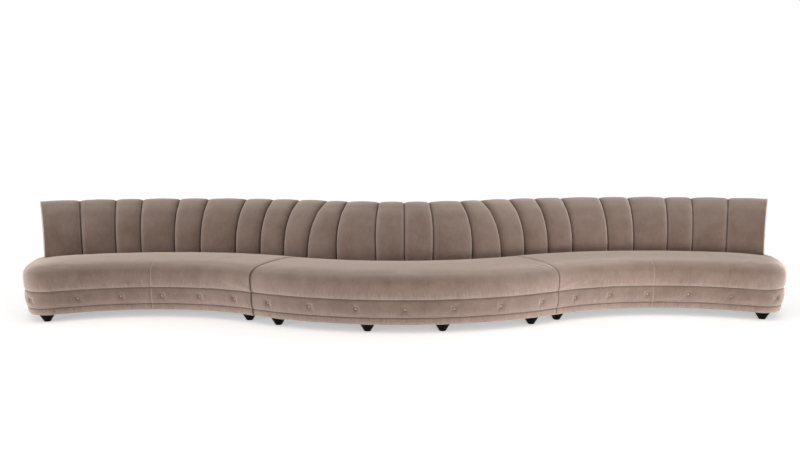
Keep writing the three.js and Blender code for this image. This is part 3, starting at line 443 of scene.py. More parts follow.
    def in_frame(self, points):
        """Points about the arc centre moved to the sofa's frame."""
        moved = np.array(points, float)
        moved[:, 0] = (moved[:, 0] + self.centre[0]) * self.side
        moved[:, 1] += self.centre[1]
        return moved


# Distances from two edges blend within about this length
INSIDE_BLEND = 0.035
# Points this near to a junction face count as on it, and lie this deep in shade
JOINT_REACH = 0.0005
JOINT_SHADES = {"left": 0.75, "right": 0.15}


def plane_distance(points, turn, sense, mirror=False):
    """Distance of plan points from the radial plane at an angle."""
    across = -points[:, 0] if mirror else points[:, 0]
    along = sense * points[:, 1]
    return np.abs(across * math.cos(turn) - along * math.sin(turn))


# The centre module's front feet stand this far behind its front arc
CENTRE_FOOT_INSET = 0.085
# The left module's seam lies this far past the middle of its front arc, towards its outer end
SEAM_SHIFTS = {"left": 0.03}
# A side module's last button stands this far past its pitch, round the corner
LAST_BUTTON_SHIFTS = {"left": 0.04, "right": 0.012}
# Columns beside the seam, in shares of its half width, and beside a button, in metres
SEAM_COLUMNS = (-2.5, -1.6, -1, -0.5, 0, 0.5, 1, 1.6, 2.5)
BUTTON_COLUMNS = (-0.05, -0.036, -0.026, -0.018, -0.012, -0.006, 0, 0.006, 0.012, 0.018, 0.026, 0.036, 0.05)
CLOSE_SHARE = 1.4


def button_angles(module):
    """Angles of the buttons on the band's arc, and past its end round the corner."""
    sizes = upholstery()
    if not module.open:
        return [sizes.button_pitch_centre * (k - 3) / module.radius for k in range(7)]
    run = [sizes.button_first_side + k * sizes.button_pitch_side for k in range(6)]
    run[-1] += LAST_BUTTON_SHIFTS[module.name]
    return [module.first + reach / module.radius for reach in run]


# Curves and meshes

def smooth_line(points, per_span=12):
    """A smooth line through the points, as a dense row of points."""
    points = np.array(points, float)
    knots = np.concatenate([2 * points[:1] - points[1:2], points, 2 * points[-1:] - points[-2:-1]])
    steps = np.linspace(0, 1, per_span, endpoint=False)[:, None]
    spans = []
    for k in range(1, len(knots) - 2):
        a, b, c, d = knots[k - 1:k + 3]
        tangent_b = span_tangent(a, b, c)
        tangent_c = span_tangent(b, c, d)
        reach = np.linalg.norm((c - b)[:2])
        s2, s3 = steps ** 2, steps ** 3
        spans.append(
            (2 * s3 - 3 * s2 + 1) * b + (s3 - 2 * s2 + steps) * tangent_b * reach
            + (-2 * s3 + 3 * s2) * c + (s3 - s2) * tangent_c * reach
        )
    return np.concatenate([*spans, points[-1:]])


def span_tangent(before, point, after):
    """Slope at a point by the lengths of the spans beside it."""
    low = max(np.linalg.norm((point - before)[:2]), 1e-9)
    high = max(np.linalg.norm((after - point)[:2]), 1e-9)
    slope_low, slope_high = (point - before) / low, (after - point) / high
    return (slope_low * high + slope_high * low) / (low + high)


def spaced(line, step):
    """A dense line resampled at even steps of its own length."""
    run = np.concatenate([[0], np.cumsum(np.linalg.norm(np.diff(line[:, :2], axis=0), axis=1))])
    count = max(2, round(run[-1] / step) + 1)
    at = np.linspace(0, run[-1], count)
    return np.stack([np.interp(at, run, line[:, k]) for k in range(line.shape[1])], -1)


def sideways(line, distance):
    """A line of [depth, height] points moved to the right of its run."""
    run = np.gradient(np.array(line, float)[:, :2], axis=0)
    run /= np.linalg.norm(run, axis=1)[:, None]
    return np.array(line, float)[:, :2] + distance * np.stack([run[:, 1], -run[:, 0]], -1)


def ring_faces(low, high):
    """Quads between two closed rows of vertex numbers."""
    count = len(low)
    return [(low[j], low[(j + 1) % count], high[(j + 1) % count], high[j]) for j in range(count)]


def raised(plan, height):
    """Plan points at one height, or each at its own."""
    return np.column_stack([plan, np.broadcast_to(height, len(plan))])


class Cloth:
    """Collects the points, faces and cloth coordinates of one closed cover."""

    def __init__(self):
        self.points = []
        self.faces = []
        self.cloth = []
        self.held = []
        self.ends = []

    def row(self, points, along, up, crease=0.0, held=None):
        """Adds a row of points: their place on the cloth, how deep they lie in painted shade, how firmly
        held.
        """
        start, count = len(self.points), len(points)
        self.points.extend(map(tuple, points))
        self.cloth.extend(zip(along, np.broadcast_to(up, count), np.broadcast_to(crease, count)))
        held = crease if held is None else held
        self.held.extend(np.broadcast_to(held, count))
        return list(range(start, len(self.points)))

    def join(self, rows, capped=False):
        """Adds the faces between closed rows, and where they are capped those over the first and last row."""
        for low, high in zip(rows, rows[1:]):
            self.faces.extend(ring_faces(low, high))
        if capped:
            self.faces.extend([tuple(rows[0][::-1]), tuple(rows[-1])])

    def to_object(self, name, module):
        placed = module.in_frame(self.points)
        faces = self.faces
        if signed_volume(placed, faces) < 0:
            faces = [face[::-1] for face in faces]
        mesh = bpy.data.meshes.new(name)
        mesh.from_pydata(placed.tolist(), [], faces)
        attribute = mesh.attributes.new("cloth", "FLOAT_VECTOR", "POINT")
        attribute.data.foreach_set("vector", np.array(self.cloth, np.float32).ravel())
        attribute = mesh.attributes.new("held", "FLOAT", "POINT")
        attribute.data.foreach_set("value", np.array(self.held, np.float32))
        mesh.update()
        obj = bpy.data.objects.new(name, mesh)
        bpy.context.scene.collection.objects.link(obj)
        return obj


def signed_volume(points, faces):
    """Volume inside faces that point outwards, negative where they point inwards."""
    total = 0.0
    for face in faces:
        corners = points[list(face)]
        fan = np.cross(corners[1:-1], corners[2:])
        total += float((corners[0] * fan).sum())
    return total


def grid_patch(cloth, rim, edges, height_of, up, held_of=None):
    """Fills a closed rim with a grid of quads over the plan."""
    front, outer, rear, inner = edges
    across, down = len(front) - 1, len(inner) - 1
    u = np.linspace(0, 1, across + 1)[:, None, None]
    v = np.linspace(0, 1, down + 1)[None, :, None]
    corners = (
        (1 - u) * (1 - v) * front[0] + u * (1 - v) * front[-1] + (1 - u) * v * rear[0] + u * v * rear[-1]
    )
    grid = (1 - v) * front[:, None] + v * rear[:, None] + (1 - u) * inner[None] + u * outer[None] - corners
    run = cloth_run(front)
    numbers = np.zeros((across + 1, down + 1), int)
    numbers[:, 0] = rim[:across + 1]
    numbers[-1, :] = rim[across:across + down + 1]
    numbers[:, -1] = [rim[across + down + (across - i)] for i in range(across + 1)]
    numbers[0, 1:-1] = [rim[2 * across + down + (down - j)] for j in range(1, down)]
    for i in range(1, across):
        inside = grid[i, 1:-1]
        reach = up + np.linalg.norm(inside - front[i], axis=1)
        held = held_of(inside) if held_of else 1.0
        points = raised(inside, height_of(inside))
        numbers[i, 1:-1] = cloth.row(points, np.full(down - 1, run[i]), reach, 0.0, held)
    for i in range(across):
        for j in range(down):
            cloth.faces.append((numbers[i, j], numbers[i + 1, j], numbers[i + 1, j + 1], numbers[i, j + 1]))


def cloth_run(points):
    """Length along a row of points at each point."""
    steps = np.linalg.norm(np.diff(np.array(points, float), axis=0), axis=1)
    return np.concatenate([[0], np.cumsum(steps)])


def waves(points, height, wavelength, seed):
    """Slow unevenness of stretched cloth at each point."""
    offset = Vector((seed, seed, seed))
    return height * np.array([noise.noise(Vector(p) / wavelength + offset) for p in points])


def deselect_all():
    if bpy.context.object and bpy.context.object.mode != "OBJECT":
        bpy.ops.object.mode_set(mode="OBJECT")
    bpy.ops.object.select_all(action="DESELECT")


def only(obj):
    """Selects one object and makes it the active one."""
    deselect_all()
    obj.select_set(True)
    bpy.context.view_layer.objects.active = obj
    return obj


def apply_modifier(obj, kind, **settings):
    only(obj)
    modifier = obj.modifiers.new(kind.lower(), kind)
    for key, value in settings.items():
        setattr(modifier, key, value)
    bpy.ops.object.modifier_apply(modifier=modifier.name)


def smooth(obj, levels=1):
    apply_modifier(obj, "SUBSURF", levels=levels, render_levels=levels)


def round_edges(obj, width, ends=()):
    """Rounds a cover's sharp edges, or only the edges round its ends where these are given."""
    if not ends:
        apply_modifier(
            obj, "BEVEL", width=width, segments=EDGE_SEGMENTS, limit_method="ANGLE",
            angle_limit=COVER_EDGE_ANGLE,
        )
        return
    mesh = obj.data
    groups = [set(end) for end in ends]
    weights = mesh.attributes.new("bevel_weight_edge", "FLOAT", "EDGE")
    for edge in mesh.edges:
        a, b = edge.vertices
        weights.data[edge.index].value = float(any(a in group and b in group for group in groups))
    apply_modifier(obj, "BEVEL", width=width, segments=EDGE_SEGMENTS, limit_method="WEIGHT")


EDGE_SEGMENTS = 3


def cut(obj, tool):
    apply_modifier(obj, "BOOLEAN", operation="DIFFERENCE", object=tool, solver="MANIFOLD")
    bpy.data.objects.remove(tool)


def shade(obj):
    only(obj)
    bpy.ops.object.shade_smooth_by_angle(angle=SMOOTH_ANGLE)


def give(obj, material, body, replaced):
    """Finishes a piece: its material, body and the CAD nodes that it stands for."""
    if "held" in obj.data.attributes:
        obj.data.attributes.remove(obj.data.attributes["held"])
    obj.data.materials.clear()
    obj.data.materials.append(material)
    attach(obj, body)
    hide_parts(*replaced)
    return obj


def swept_tool(module, section, angles, aside):
    """A closed solid swept through the module: the shape of a space that is cut out of a cover."""
    cloth = Cloth()
    rows = []
    for turn, offset in zip(angles, aside):
        plan = module.place(np.full(len(section), turn), offset, section[:, 0])
        rows.append(cloth.row(raised(plan, section[:, 1]), np.zeros(len(section)), 0))
    cloth.join(rows, capped=True)
    return cloth.to_object("space", module)


# Seats

def seat_line():
    """The seat's section from the seam to the crown, as [inset, height] points."""
    sizes = upholstery()
    foot = FLOOR_TO_SEAT + sizes.fit_gap
    rise = sizes.seat_crown - FLOOR_TO_SEAT - sizes.fit_gap
    return smooth_line([(s * sizes.seat_depth, foot + h * rise) for s, h in SEAT_SHARES])


def seat_mesh(module, line):
    sizes = upholstery()
    shoulder = SHOULDER_SHARE * sizes.seat_depth
    rise = sizes.seat_crown - FLOOR_TO_SEAT
    proudest = int(np.argmin(line[:, 0]))
    inward = line[proudest:]

    def top_height(points):
        inside = np.maximum(module.seat_inside(points), shoulder)
        depth = module.depth_of(points)
        start = FALL_START_SHARE * sizes.seat_depth
        t = np.clip((depth - start) / (sizes.seat_depth - start), 0, 1)
        fall = t * t * (3 - 2 * t) * FALL_SHARE * rise
        crown = np.interp(inside, inward[:, 0], inward[:, 1])
        lowest = np.interp(shoulder, inward[:, 0], inward[:, 1])
        return np.maximum(lowest, crown - fall)

    side = line[:proudest + 1 + int(np.searchsorted(inward[1:, 0], shoulder))]
    side = spaced(side, SEAT_STEP)
    cloth = Cloth()
    rows = []
    up = cloth_run(side)
    for (inset, height), reach in zip(side[:-1], up):
        plan = module.loop(inset)
        at_joint, lip = module.joint_crease(plan), lip_crease(reach)
        crease, held = np.maximum(at_joint, lip), firmness(at_joint, lip)
        rows.append(cloth.row(raised(plan, height), cloth_run(plan), reach, crease, held))
    edges = module.edges(shoulder)
    plan = module.loop(shoulder)
    at_joint = module.joint_crease(plan)
    points = raised(plan, top_height(plan))
    rows.append(cloth.row(points, cloth_run(plan), up[-1], at_joint, firmness(at_joint, 0.0)))
    cloth.join(rows)
    grid_patch(cloth, rows[-1], edges, top_height, up[-1], lambda points: seat_held(module, points))
    under = Cloth()
    under.points, under.cloth, under.held = cloth.points, cloth.cloth, cloth.held
    bottom = side[0, 1]
    grid_patch(under, rows[0], module.edges(side[0, 0]), lambda points: np.full(len(points), bottom), 0)
    cloth.faces.extend(face[::-1] for face in under.faces)
    return cloth


def seat_held(module, points):
    """How firmly the seat's top is held: not at all in front, firmly under the back and at a junction."""
    behind = module.depth_of(points) - (upholstery().seat_depth - 2 * HELD_REACH)
    return np.clip(np.maximum(behind, HELD_REACH - module.from_joints(points)) / HELD_REACH, 0, 1)


# Distances between the rows of points up a seat, up a channelled back and up an outer back
SEAT_STEP = 0.014
BACK_STEP = 0.016
OUTER_BACK_STEP = 0.02
# A cover is held this far from where it meets its neighbour
HELD_REACH = 0.02
# Cloth turned under within this reach of a seam lies in its own shadow
LIP_REACH = 0.014
LIP_SHADE = 0.7


def lip_crease(distance):
    return LIP_SHADE * float(np.clip(1 - distance / LIP_REACH, 0, 1))


def firmness(at_joint, lip):
    """How firmly cloth is held: fully on a junction face, and beside a seam as deep as it lies in shade."""
    return np.maximum(np.asarray(at_joint) > 0, min(lip / LIP_SHADE, 1.0)).astype(float)


def sink_seam(module, cloth):
    """Draws the cloth in along the seam across the module's front."""
    sizes = upholstery()
    points = np.array(cloth.points)
    apart = (module.angle_of(points[:, :2]) - module.seam_angle) * module.radius
    depth = module.depth_of(points[:, :2])
    in_front = np.clip((SEAM_END - depth) / (SEAM_END - SEAM_FADE), 0, 1)
    hollow = np.exp(-(apart / sizes.seam_reach) ** 2)
    welt = WELT_SHARE * np.exp(-((apart + WELT_PLACE * sizes.seam_reach) / sizes.seam_reach) ** 2)
    sink = sizes.seam_sink * (hollow - welt) * in_front
    inward = np.column_stack([points[:, :2], np.zeros(len(points))])
    inward *= module.sense / np.linalg.norm(inward, axis=1)[:, None]
    up = np.clip((points[:, 2] - FLOOR_TO_SEAT) / (sizes.seat_crown - FLOOR_TO_SEAT), 0, 1) ** 4
    direction = inward * (1 - up)[:, None]
    direction[:, 2] -= up
    cloth.points = [tuple(p) for p in points + direction * sink[:, None]]


# The seam runs up the front and is lost on the top between these depths
SEAM_FADE = 0.03
SEAM_END = 0.12
# The seam's allowances lie to one side, as a low welt: shares of the seam's depth and half width
WELT_SHARE = 0.45
WELT_PLACE = 1.9


# The back's space in the seat ends this far above and behind the seat
CUT_OVERRUN = 0.04


def seat_space(module):
    """The space that the back takes out of the seat, with the back's own channels along its front."""
    sizes = upholstery()
    stations = channel_stations(module)
    plan = plan_sizes()
    rear = plan.base_depth + CUT_OVERRUN
    low, high = FLOOR_TO_SEAT - CUT_OVERRUN, sizes.seat_crown + CUT_OVERRUN
    aside = stations["aside"].copy()
    aside[0] = -CUT_OVERRUN
    aside[-1] = sizes.seam_gap if module.open else CUT_OVERRUN
    cloth = Cloth()
    rows = []
    for turn, offset, lift in zip(stations["foot"], aside, stations["lift"]):
        front = sizes.seat_depth - lift - sizes.seam_gap
        depths = np.array([front, rear, rear, front])
        heights = np.array([low, low, high, high])
        points = module.place(np.full(4, turn), offset, depths)
        rows.append(cloth.row(raised(points, heights), np.zeros(4), 0))
    cloth.join(rows, capped=True)
    return cloth.to_object("space", module)


def make_seat(module, line, material):
    sizes = upholstery()
    cloth = seat_mesh(module, line)
    sink_seam(module, cloth)
    seat = cloth.to_object(f"{module.name}_seat", module)
    round_edges(seat, sizes.junction_roll)
    settle(seat, sizes.seat_swell)
    smooth(seat)
    unsettle(seat, SEAT_WAVES[0], SEAT_WAVES[1] + module.side)
    cut(seat, seat_space(module))
    shade(seat)
    return give(seat, material, module.name, [f"{module.name}_seat_cushion"])


def settle(obj, swell):
    """Lets a cover swell over its filling as cloth that is held along its seams, by a short simulation.
    The filling keeps it from sinking, and no point moves further than the swell."""
    apply_modifier(obj, "WELD", merge_threshold=WELD_REACH)
    mesh = obj.data
    held = np.empty(len(mesh.vertices), np.float32)
    mesh.attributes["held"].data.foreach_get("value", held)
    held = np.clip(held, 0, 1)
    mesh.attributes.remove(mesh.attributes["held"])
    group = obj.vertex_groups.new(name="held")
    for number, weight in enumerate(held.tolist()):
        group.add([number], weight, "REPLACE")
    cover = obj.modifiers.new("cover", "CLOTH")
    cover.settings.quality = 5
    cover.settings.vertex_group_mass = group.name
    cover.settings.use_pressure = True
    cover.settings.uniform_pressure_force = COVER_PRESSURE
    cover.settings.shrink_min = -COVER_FULLNESS
    cover.settings.effector_weights.gravity = 0
    for frame_number in range(1, SETTLE_FRAMES + 1):
        bpy.context.scene.frame_set(frame_number)
    settled = obj.evaluated_get(bpy.context.evaluated_depsgraph_get()).data
    after, before = vertex_values(settled, "co"), vertex_values(mesh, "co")
    obj.modifiers.remove(cover)
    obj.vertex_groups.remove(group)
    bpy.context.scene.frame_set(1)
    moved = after - before
    normals = vertex_values(mesh, "normal")
    sunk = np.minimum((moved * normals).sum(axis=1), 0)
    moved -= sunk[:, None] * normals
    far = np.linalg.norm(moved, axis=1)
    limit = swell * np.tanh(far / swell) / np.maximum(far, 1e-9)
    mesh.vertices.foreach_set("co", (before + moved * (limit * (1 - held))[:, None]).ravel())
    mesh.update()


def vertex_values(mesh, kind):
    """The places (co) or normals of a mesh's points, one row for each."""
    values = np.empty(len(mesh.vertices) * 3, np.float32)
    mesh.vertices.foreach_get(kind, values)
    return values.reshape(-1, 3)


# Pressure of the filling on a cover, and how much longer the cloth is cut than the shape that it covers
COVER_PRESSURE = 4.0
COVER_FULLNESS = 0.006
SETTLE_FRAMES = 20
WELD_REACH = 0.00005


# Unevenness of each kind of cover: how far apart its rises lie, and where the pattern starts
SEAT_WAVES = (0.11, 3.0)
BAND_WAVES = (0.05, 7.0)
PLINTH_WAVES = (0.06, 11.0)


def unsettle(obj, wavelength, seed):
    """Moves a cover's points in and out a little, as stretched cloth over foam lies."""
    mesh = obj.data
    points, normals = vertex_values(mesh, "co"), vertex_values(mesh, "normal")
    lift = waves(points, upholstery().cloth_wave, wavelength, seed)
    mesh.vertices.foreach_set("co", (points + normals * lift[:, None]).ravel())
    mesh.update()


# Backs

def back_lines():
    """The back's front and rear lines, as [depth, height, crown] and [depth, height] points."""
    sizes = upholstery()
    seat_rear = sizes.seat_crown - FALL_SHARE * (sizes.seat_crown - FLOOR_TO_SEAT)
    rise = sizes.back_top - seat_rear
    floor = FLOOR_TO_SEAT + sizes.fit_gap
    front = [
        (sizes.seat_depth + lean * sizes.back_lean, seat_rear + up * rise, crown * sizes.channel_crown)
        for lean, up, crown in FRONT_SHARES
    ]
    roll = [
        (sizes.seat_depth + sizes.back_lean + deep * sizes.roll_depth, seat_rear + up * rise,
         crown * sizes.channel_crown)
        for deep, up, crown in ROLL_SHARES
    ]
    rear_foot = sizes.seat_depth + sizes.back_thickness
    rear = [(rear_foot + lean * sizes.back_lean, seat_rear + up * rise) for lean, up in REAR_SHARES]
    return {
        "front": [(sizes.seat_depth, floor, sizes.channel_crown), *front],
        "roll": roll,
        "rear": [*rear, (rear_foot, floor)],
        "seat_rear": seat_rear,
        "rise": rise,
    }


def channel_stations(module):
    """Columns across all channels: angles at the seat and the top, aside, lift above the groove line."""
    sizes, plan = upholstery(), plan_sizes()
    foot_shares = SIDE_SEAM_FOOT_SHARES if module.open else CENTRE_SEAM_FOOT_SHARES
    top_shares = SIDE_SEAM_TOP_SHARES if module.open else CENTRE_SEAM_TOP_SHARES
    start = module.first if module.open else 0.0
    span = module.last - module.first if module.open else module.last
    depth_radius = module.radius + module.sense * sizes.seat_depth
    foot, top, lift, groove, painted_groove_shade = [], [], [], [], []
    for k in range(len(foot_shares) - 1):
        width = (foot_shares[k + 1] - foot_shares[k]) * span * depth_radius
        for across in CHANNEL_COLUMN_SHARES:
            foot.append(start + span * (foot_shares[k] + (foot_shares[k + 1] - foot_shares[k]) * across))
            top.append(start + span * (top_shares[k] + (top_shares[k + 1] - top_shares[k]) * across))
            last_channel = module.open and k == len(foot_shares) - 2
            near = (across if last_channel else min(across, 1 - across)) * width
            lift.append(channel_share(across) * sizes.channel_crown)
            groove.append(math.exp(-(near / sizes.groove_width) ** 2))
            painted_groove_shade.append(math.exp(-(near / sizes.painted_groove_shade_width) ** 2))
    foot.append(module.last)
    top.append(module.last)
    lift.append(END_CROWN_SHARE * sizes.channel_crown if module.open else 0.0)
    groove.append(0.0 if module.open else 1.0)
    painted_groove_shade.append(groove[-1])
    lift, groove = np.array(lift), np.array(groove)
    if module.open:
        near_end = np.arange(len(lift)) > len(lift) - END_COLUMNS
        lift[near_end] = np.maximum(lift[near_end], END_CROWN_SHARE * sizes.channel_crown)
    aside = np.zeros(len(foot))
    aside[0] = plan.junction_gap / 2 + sizes.junction_ease
    if not module.open:
        aside[-1] = -aside[0]
    return {
        "foot": np.array(foot), "top": np.array(top), "aside": aside,
        "lift": lift - groove * sizes.groove_depth, "groove": groove, "painted_groove_shade": painted_groove_shade,
    }


# Painted light of the floor's bounce reaches up to this far above a front seam
PAINTED_BOUNCE_REACH = 0.13
# Fullness of a channel's section: higher is flatter across its middle
CHANNEL_FULLNESS = 2.2
CHANNEL_EDGE = 1.75
END_CROWN_SHARE = 0.6
END_COLUMNS = 7


def channel_share(across):
    """Share of the crown at a share of a channel's width."""
    return (1 - abs(2 * across - 1) ** CHANNEL_FULLNESS) ** (1 / CHANNEL_EDGE)


def back_mesh(module, lines):
    line = smooth_line([*lines["front"], *lines["roll"], *[(d, h, 0) for d, h in lines["rear"]]], per_span=8)
    line = spaced(line, BACK_STEP)
    section = line[:, :2]
    proud = sideways(section, -1.0) - section
    stations = channel_stations(module)
    cloth = Cloth()
    rows = []
    run = cloth_run(section)
    share_up = np.clip((line[:, 1] - lines["seat_rear"]) / lines["rise"], 0, 1)
    crown = line[:, 2] / upholstery().channel_crown
    radius = module.radius + module.sense * upholstery().seat_depth
    seat_level = lines["seat_rear"] + HELD_REACH
    fixed = np.where((line[:, 2] <= 0) | (line[:, 1] < seat_level), 1.0, 0.0)
    for foot, top, aside, lift, groove, painted_groove_shade in zip(*stations.values()):
        angles = foot + (top - foot) * share_up
        out = crown * lift
        plan = module.place(angles, aside, section[:, 0] + out * proud[:, 0])
        heights = section[:, 1] + out * proud[:, 1]
        at_end = foot in (stations["foot"][0], stations["foot"][-1])
        # Painted shade: dark at the bottom of each groove where the channel stands out, and full on a
        # junction face
        crease = np.where(crown > 0, painted_groove_shade, 0) if abs(aside) < JOINT_REACH else np.ones(len(run))
        held = np.maximum(fixed, 1.0 if at_end else groove)
        along = np.full(len(run), foot * radius)
        rows.append(cloth.row(raised(plan, heights), along, PAINTED_BOUNCE_REACH + run, crease, held))
    cloth.join(rows, capped=True)
    cloth.ends = [rows[0], rows[-1]]
    return cloth


def back_space(module, lines):
    """The hollow behind the padding, where the back's frame stands."""
    sizes, plan = upholstery(), plan_sizes()
    front = [(d, h) for d, h, _ in lines["front"]]
    inner = sideways(front, sizes.pad_depth)[:-2]
    lip = lines["rear"][0][1]
    rear = sizes.seat_depth + sizes.back_lean + sizes.roll_depth + CUT_OVERRUN
    foot = FLOOR_TO_SEAT - CUT_OVERRUN
    section = np.array([(inner[0][0], foot), *inner[1:], (rear, lip), (rear, foot)])
    angles = np.linspace(module.first, module.last, BACK_COLUMNS)
    aside = np.zeros(BACK_COLUMNS)
    aside[0] = plan.junction_gap / 2 + sizes.end_wall
    aside[-1] = -sizes.end_wall - (0 if module.open else plan.junction_gap / 2)
    return swept_tool(module, section, angles, aside)


BACK_COLUMNS = 13


def make_back(module, lines, material):
    sizes = upholstery()
    cloth = back_mesh(module, lines)
    back = cloth.to_object(f"{module.name}_channel_back", module)
    round_edges(back, sizes.junction_roll, cloth.ends)
    settle(back, sizes.back_swell)
    smooth(back)
    cut(back, back_space(module, lines))
    shade(back)
    return give(back, material, module.name, [f"{module.name}_back_channels"])


def make_outer_back(module, lines, material):
    sizes, plan = upholstery(), plan_sizes()
    rear = spaced(smooth_line(lines["rear"], per_span=10), OUTER_BACK_STEP)
    rear[0, 1] -= sizes.fit_gap
    inner = sideways(rear, sizes.outer_sheet)
    inner[0, 1] = rear[0, 1]
    inner[-1, 1] = rear[-1, 1]
    angles = np.linspace(module.first, module.last, OUTER_BACK_COLUMNS)
    aside = np.zeros(OUTER_BACK_COLUMNS)
    end = sizes.end_wall + sizes.fit_gap
    aside[0] = plan.junction_gap / 2 + end
    aside[-1] = -end - (0 if module.open else plan.junction_gap / 2)
    section = np.concatenate([rear, inner[::-1]])
    cloth = Cloth()
    rows = []
    run = cloth_run(section)
    for turn, offset in zip(angles, aside):
        points = module.place(np.full(len(section), turn), offset, section[:, 0])
        along = np.full(len(section), turn * module.radius)
        rows.append(cloth.row(raised(points, section[:, 1]), along, PAINTED_BOUNCE_REACH + run))
    cloth.join(rows)
    half = len(rear)
    for row, flip in ((rows[0], True), (rows[-1], False)):
        for j in range(half - 1):
            quad = (row[j], row[j + 1], row[2 * half - 2 - j], row[2 * half - 1 - j])
            cloth.faces.append(quad[::-1] if flip else quad)
    cover = cloth.to_object(f"{module.name}_outer_back_panel", module)
    round_edges(cover, OUTER_EDGE)
    smooth(cover)
    shade(cover)
    return give(cover, material, module.name, [f"{module.name}_outer_back"])


OUTER_EDGE = 0.002
OUTER_BACK_COLUMNS = 90


# Bands and plinths

def course_line(foot, top, foot_inset, top_inset, bulge):
    """Outer face of a padded course with turned edges, as [inset, height] points from foot to top."""
    roll = upholstery().edge_roll
    part_roll = TURNED_SHARE * roll
    points = [
        (foot_inset + roll, foot), (foot_inset + part_roll, foot + part_roll), (foot_inset, foot + roll),
    ]
    for t in FACE_SHARES:
        height = foot + (top - foot) * t
        inset = foot_inset + (top_inset - foot_inset) * t - bulge * math.sin(math.pi * t)
        points.append((inset, height))
    points += [(top_inset, top - roll), (top_inset + part_roll, top - part_roll), (top_inset + roll, top)]
    return smooth_line(points)


# Middle of a turned edge, as a share of its radius, and stations up the face between the edges
TURNED_SHARE = 0.3
FACE_SHARES = (0.25, 0.5, 0.75)


def course_mesh(module, line, depth, joint, step, start=0.0):
    """A padded course round the whole base; the painted light of the floor's bounce on it starts from this
    far below its foot.
    """
    outer = spaced(line, step)
    inner_inset = line[:, 0].max() + depth
    cloth = Cloth()
    rows = []
    up = cloth_run(outer)
    for (inset, height), reach in zip(outer, up):
        plan = module.loop(inset)
        at_joint, lip = module.joint_crease(plan), lip_crease(min(reach, up[-1] - reach))
        crease, held = np.maximum(at_joint, lip), firmness(at_joint, lip)
        rows.append(cloth.row(raised(plan, height), cloth_run(plan), start + reach, crease, held))
    for height in (outer[-1, 1], outer[0, 1]):
        plan = module.loop(inner_inset, joint)
        # The inner rows are painted in full shade
        rows.append(cloth.row(raised(plan, height), cloth_run(plan), up[-1], 1.0))
    rows.append(rows[0])
    cloth.join(rows)
    return cloth


# The band's painted light of the floor's bounce starts this far below its foot
BAND_BOUNCE_START = 0.05
# Distance between the rows of points up a band and up a plinth
BAND_STEP = 0.0085
PLINTH_STEP = 0.008


def button_places(module):
    """Plan point and outward direction of each button on the band, about the arc centre."""
    plan = plan_sizes()
    if not module.open:
        return [(angle_point(module, turn), outward_of(turn, 1)) for turn in button_angles(module)]
    places = []
    for turn in button_angles(module):
        if turn < module.front_tangent:
            places.append((angle_point(module, turn), outward_of(turn, -1)))
            continue
        past = (turn - module.front_tangent) * module.radius
        start = module.front_tangent + math.pi
        share_past = past / ((start - module.end_start) * plan.front_corner_radius)
        point = module.front_corner_point(band_face_inset(), share_past)
        turn = start + (module.end_start - start) * share_past
        places.append((point, np.array([math.sin(turn), math.cos(turn)])))
    return places


def band_face_inset():
    return upholstery().band_taper / 2


def angle_point(module, turn):
    return module.place(turn, 0.0, band_face_inset())


def outward_of(turn, sense):
    """Direction out of the band's face at an angle."""
    return np.array([sense * math.sin(turn), -math.cos(turn)])


def button_height():
    return (FLOOR_TO_BAND + FLOOR_TO_SEAT) / 2


def tuft_band(module, cloth):
    """Draws the band in at each button, with creases round it. Returns the painted shade round each button.
    """
    sizes = upholstery()
    points = np.array(cloth.points)
    painted_button_shade = np.zeros(len(points))
    for plan_point, outward in button_places(module):
        aside = np.array([-outward[1], outward[0]])
        offset = points[:, :2] - plan_point
        x = offset @ aside
        y = points[:, 2] - button_height()
        off = np.abs(offset @ outward)
        r = np.hypot(x, y)
        turn = np.arctan2(y, x)
        hollow = sizes.tuft_depth * np.exp(-(r / sizes.tuft_reach) ** 2)
        crease = sizes.pucker_depth * np.cos(PUCKER_COUNT * turn + math.pi) * r / sizes.tuft_reach
        crease = crease * np.exp(-(r / sizes.pucker_reach) ** 2)
        near = (off < TUFT_LAYER) & (r < TUFT_LIMIT)
        sink = np.where(near, hollow + crease, 0.0)
        points[:, :2] -= sink[:, None] * outward
        # Painted shade of the hollow round a button
        shade = BUTTON_SHADE * np.exp(-(r / BUTTON_SHADE_REACH) ** 4)
        painted_button_shade = np.maximum(painted_button_shade, np.where(near, shade, 0.0))
    cloth.points = [tuple(p) for p in points]
    return painted_button_shade


# Painted shade this deep round a button, and out to this far from its middle
BUTTON_SHADE = 0.7
BUTTON_SHADE_REACH = 0.015
# Less than this isn't drawn
PAINTED_SHADE_LEAST = 0.02
# A button draws in what lies this near to the band's face and to its own middle
TUFT_LAYER = 0.03
TUFT_LIMIT = 0.12
# Creases round one button
PUCKER_COUNT = 4


def make_band(module, material):
    sizes = upholstery()
    bottom = FLOOR_TO_BAND + sizes.fit_gap
    line = course_line(bottom, FLOOR_TO_SEAT, sizes.band_taper, 0.0, sizes.band_bulge)
    inner = sizes.band_cover - sizes.edge_roll
    cloth = course_mesh(module, line, inner, sizes.band_cover, BAND_STEP, BAND_BOUNCE_START)
    sink_seam(module, cloth)
    hold_at_buttons(module, cloth)
    band = cloth.to_object(f"{module.name}_band", module)
    round_edges(band, sizes.edge_roll)
    settle(band, sizes.band_swell)
    smooth(band)
    tuft_object(module, band)
    unsettle(band, BAND_WAVES[0], BAND_WAVES[1] + module.side)
    shade(band)
    return give(band, material, module.name, [f"{module.name}_button_band"])


def hold_at_buttons(module, cloth):
    """Holds the band's cloth where the buttons are tied through it."""
    points = np.array(cloth.points)
    held = np.array(cloth.held)
    reach = upholstery().tuft_reach
    for plan_point, _ in button_places(module):
        apart = np.linalg.norm(points - np.array([*plan_point, button_height()]), axis=1)
        held = np.maximum(held, np.clip(TIED_REACH - apart / reach, 0, 1))
    cloth.held = held.tolist()


# The cloth is free again at this many radii of the hollow from a button
TIED_REACH = 1.5


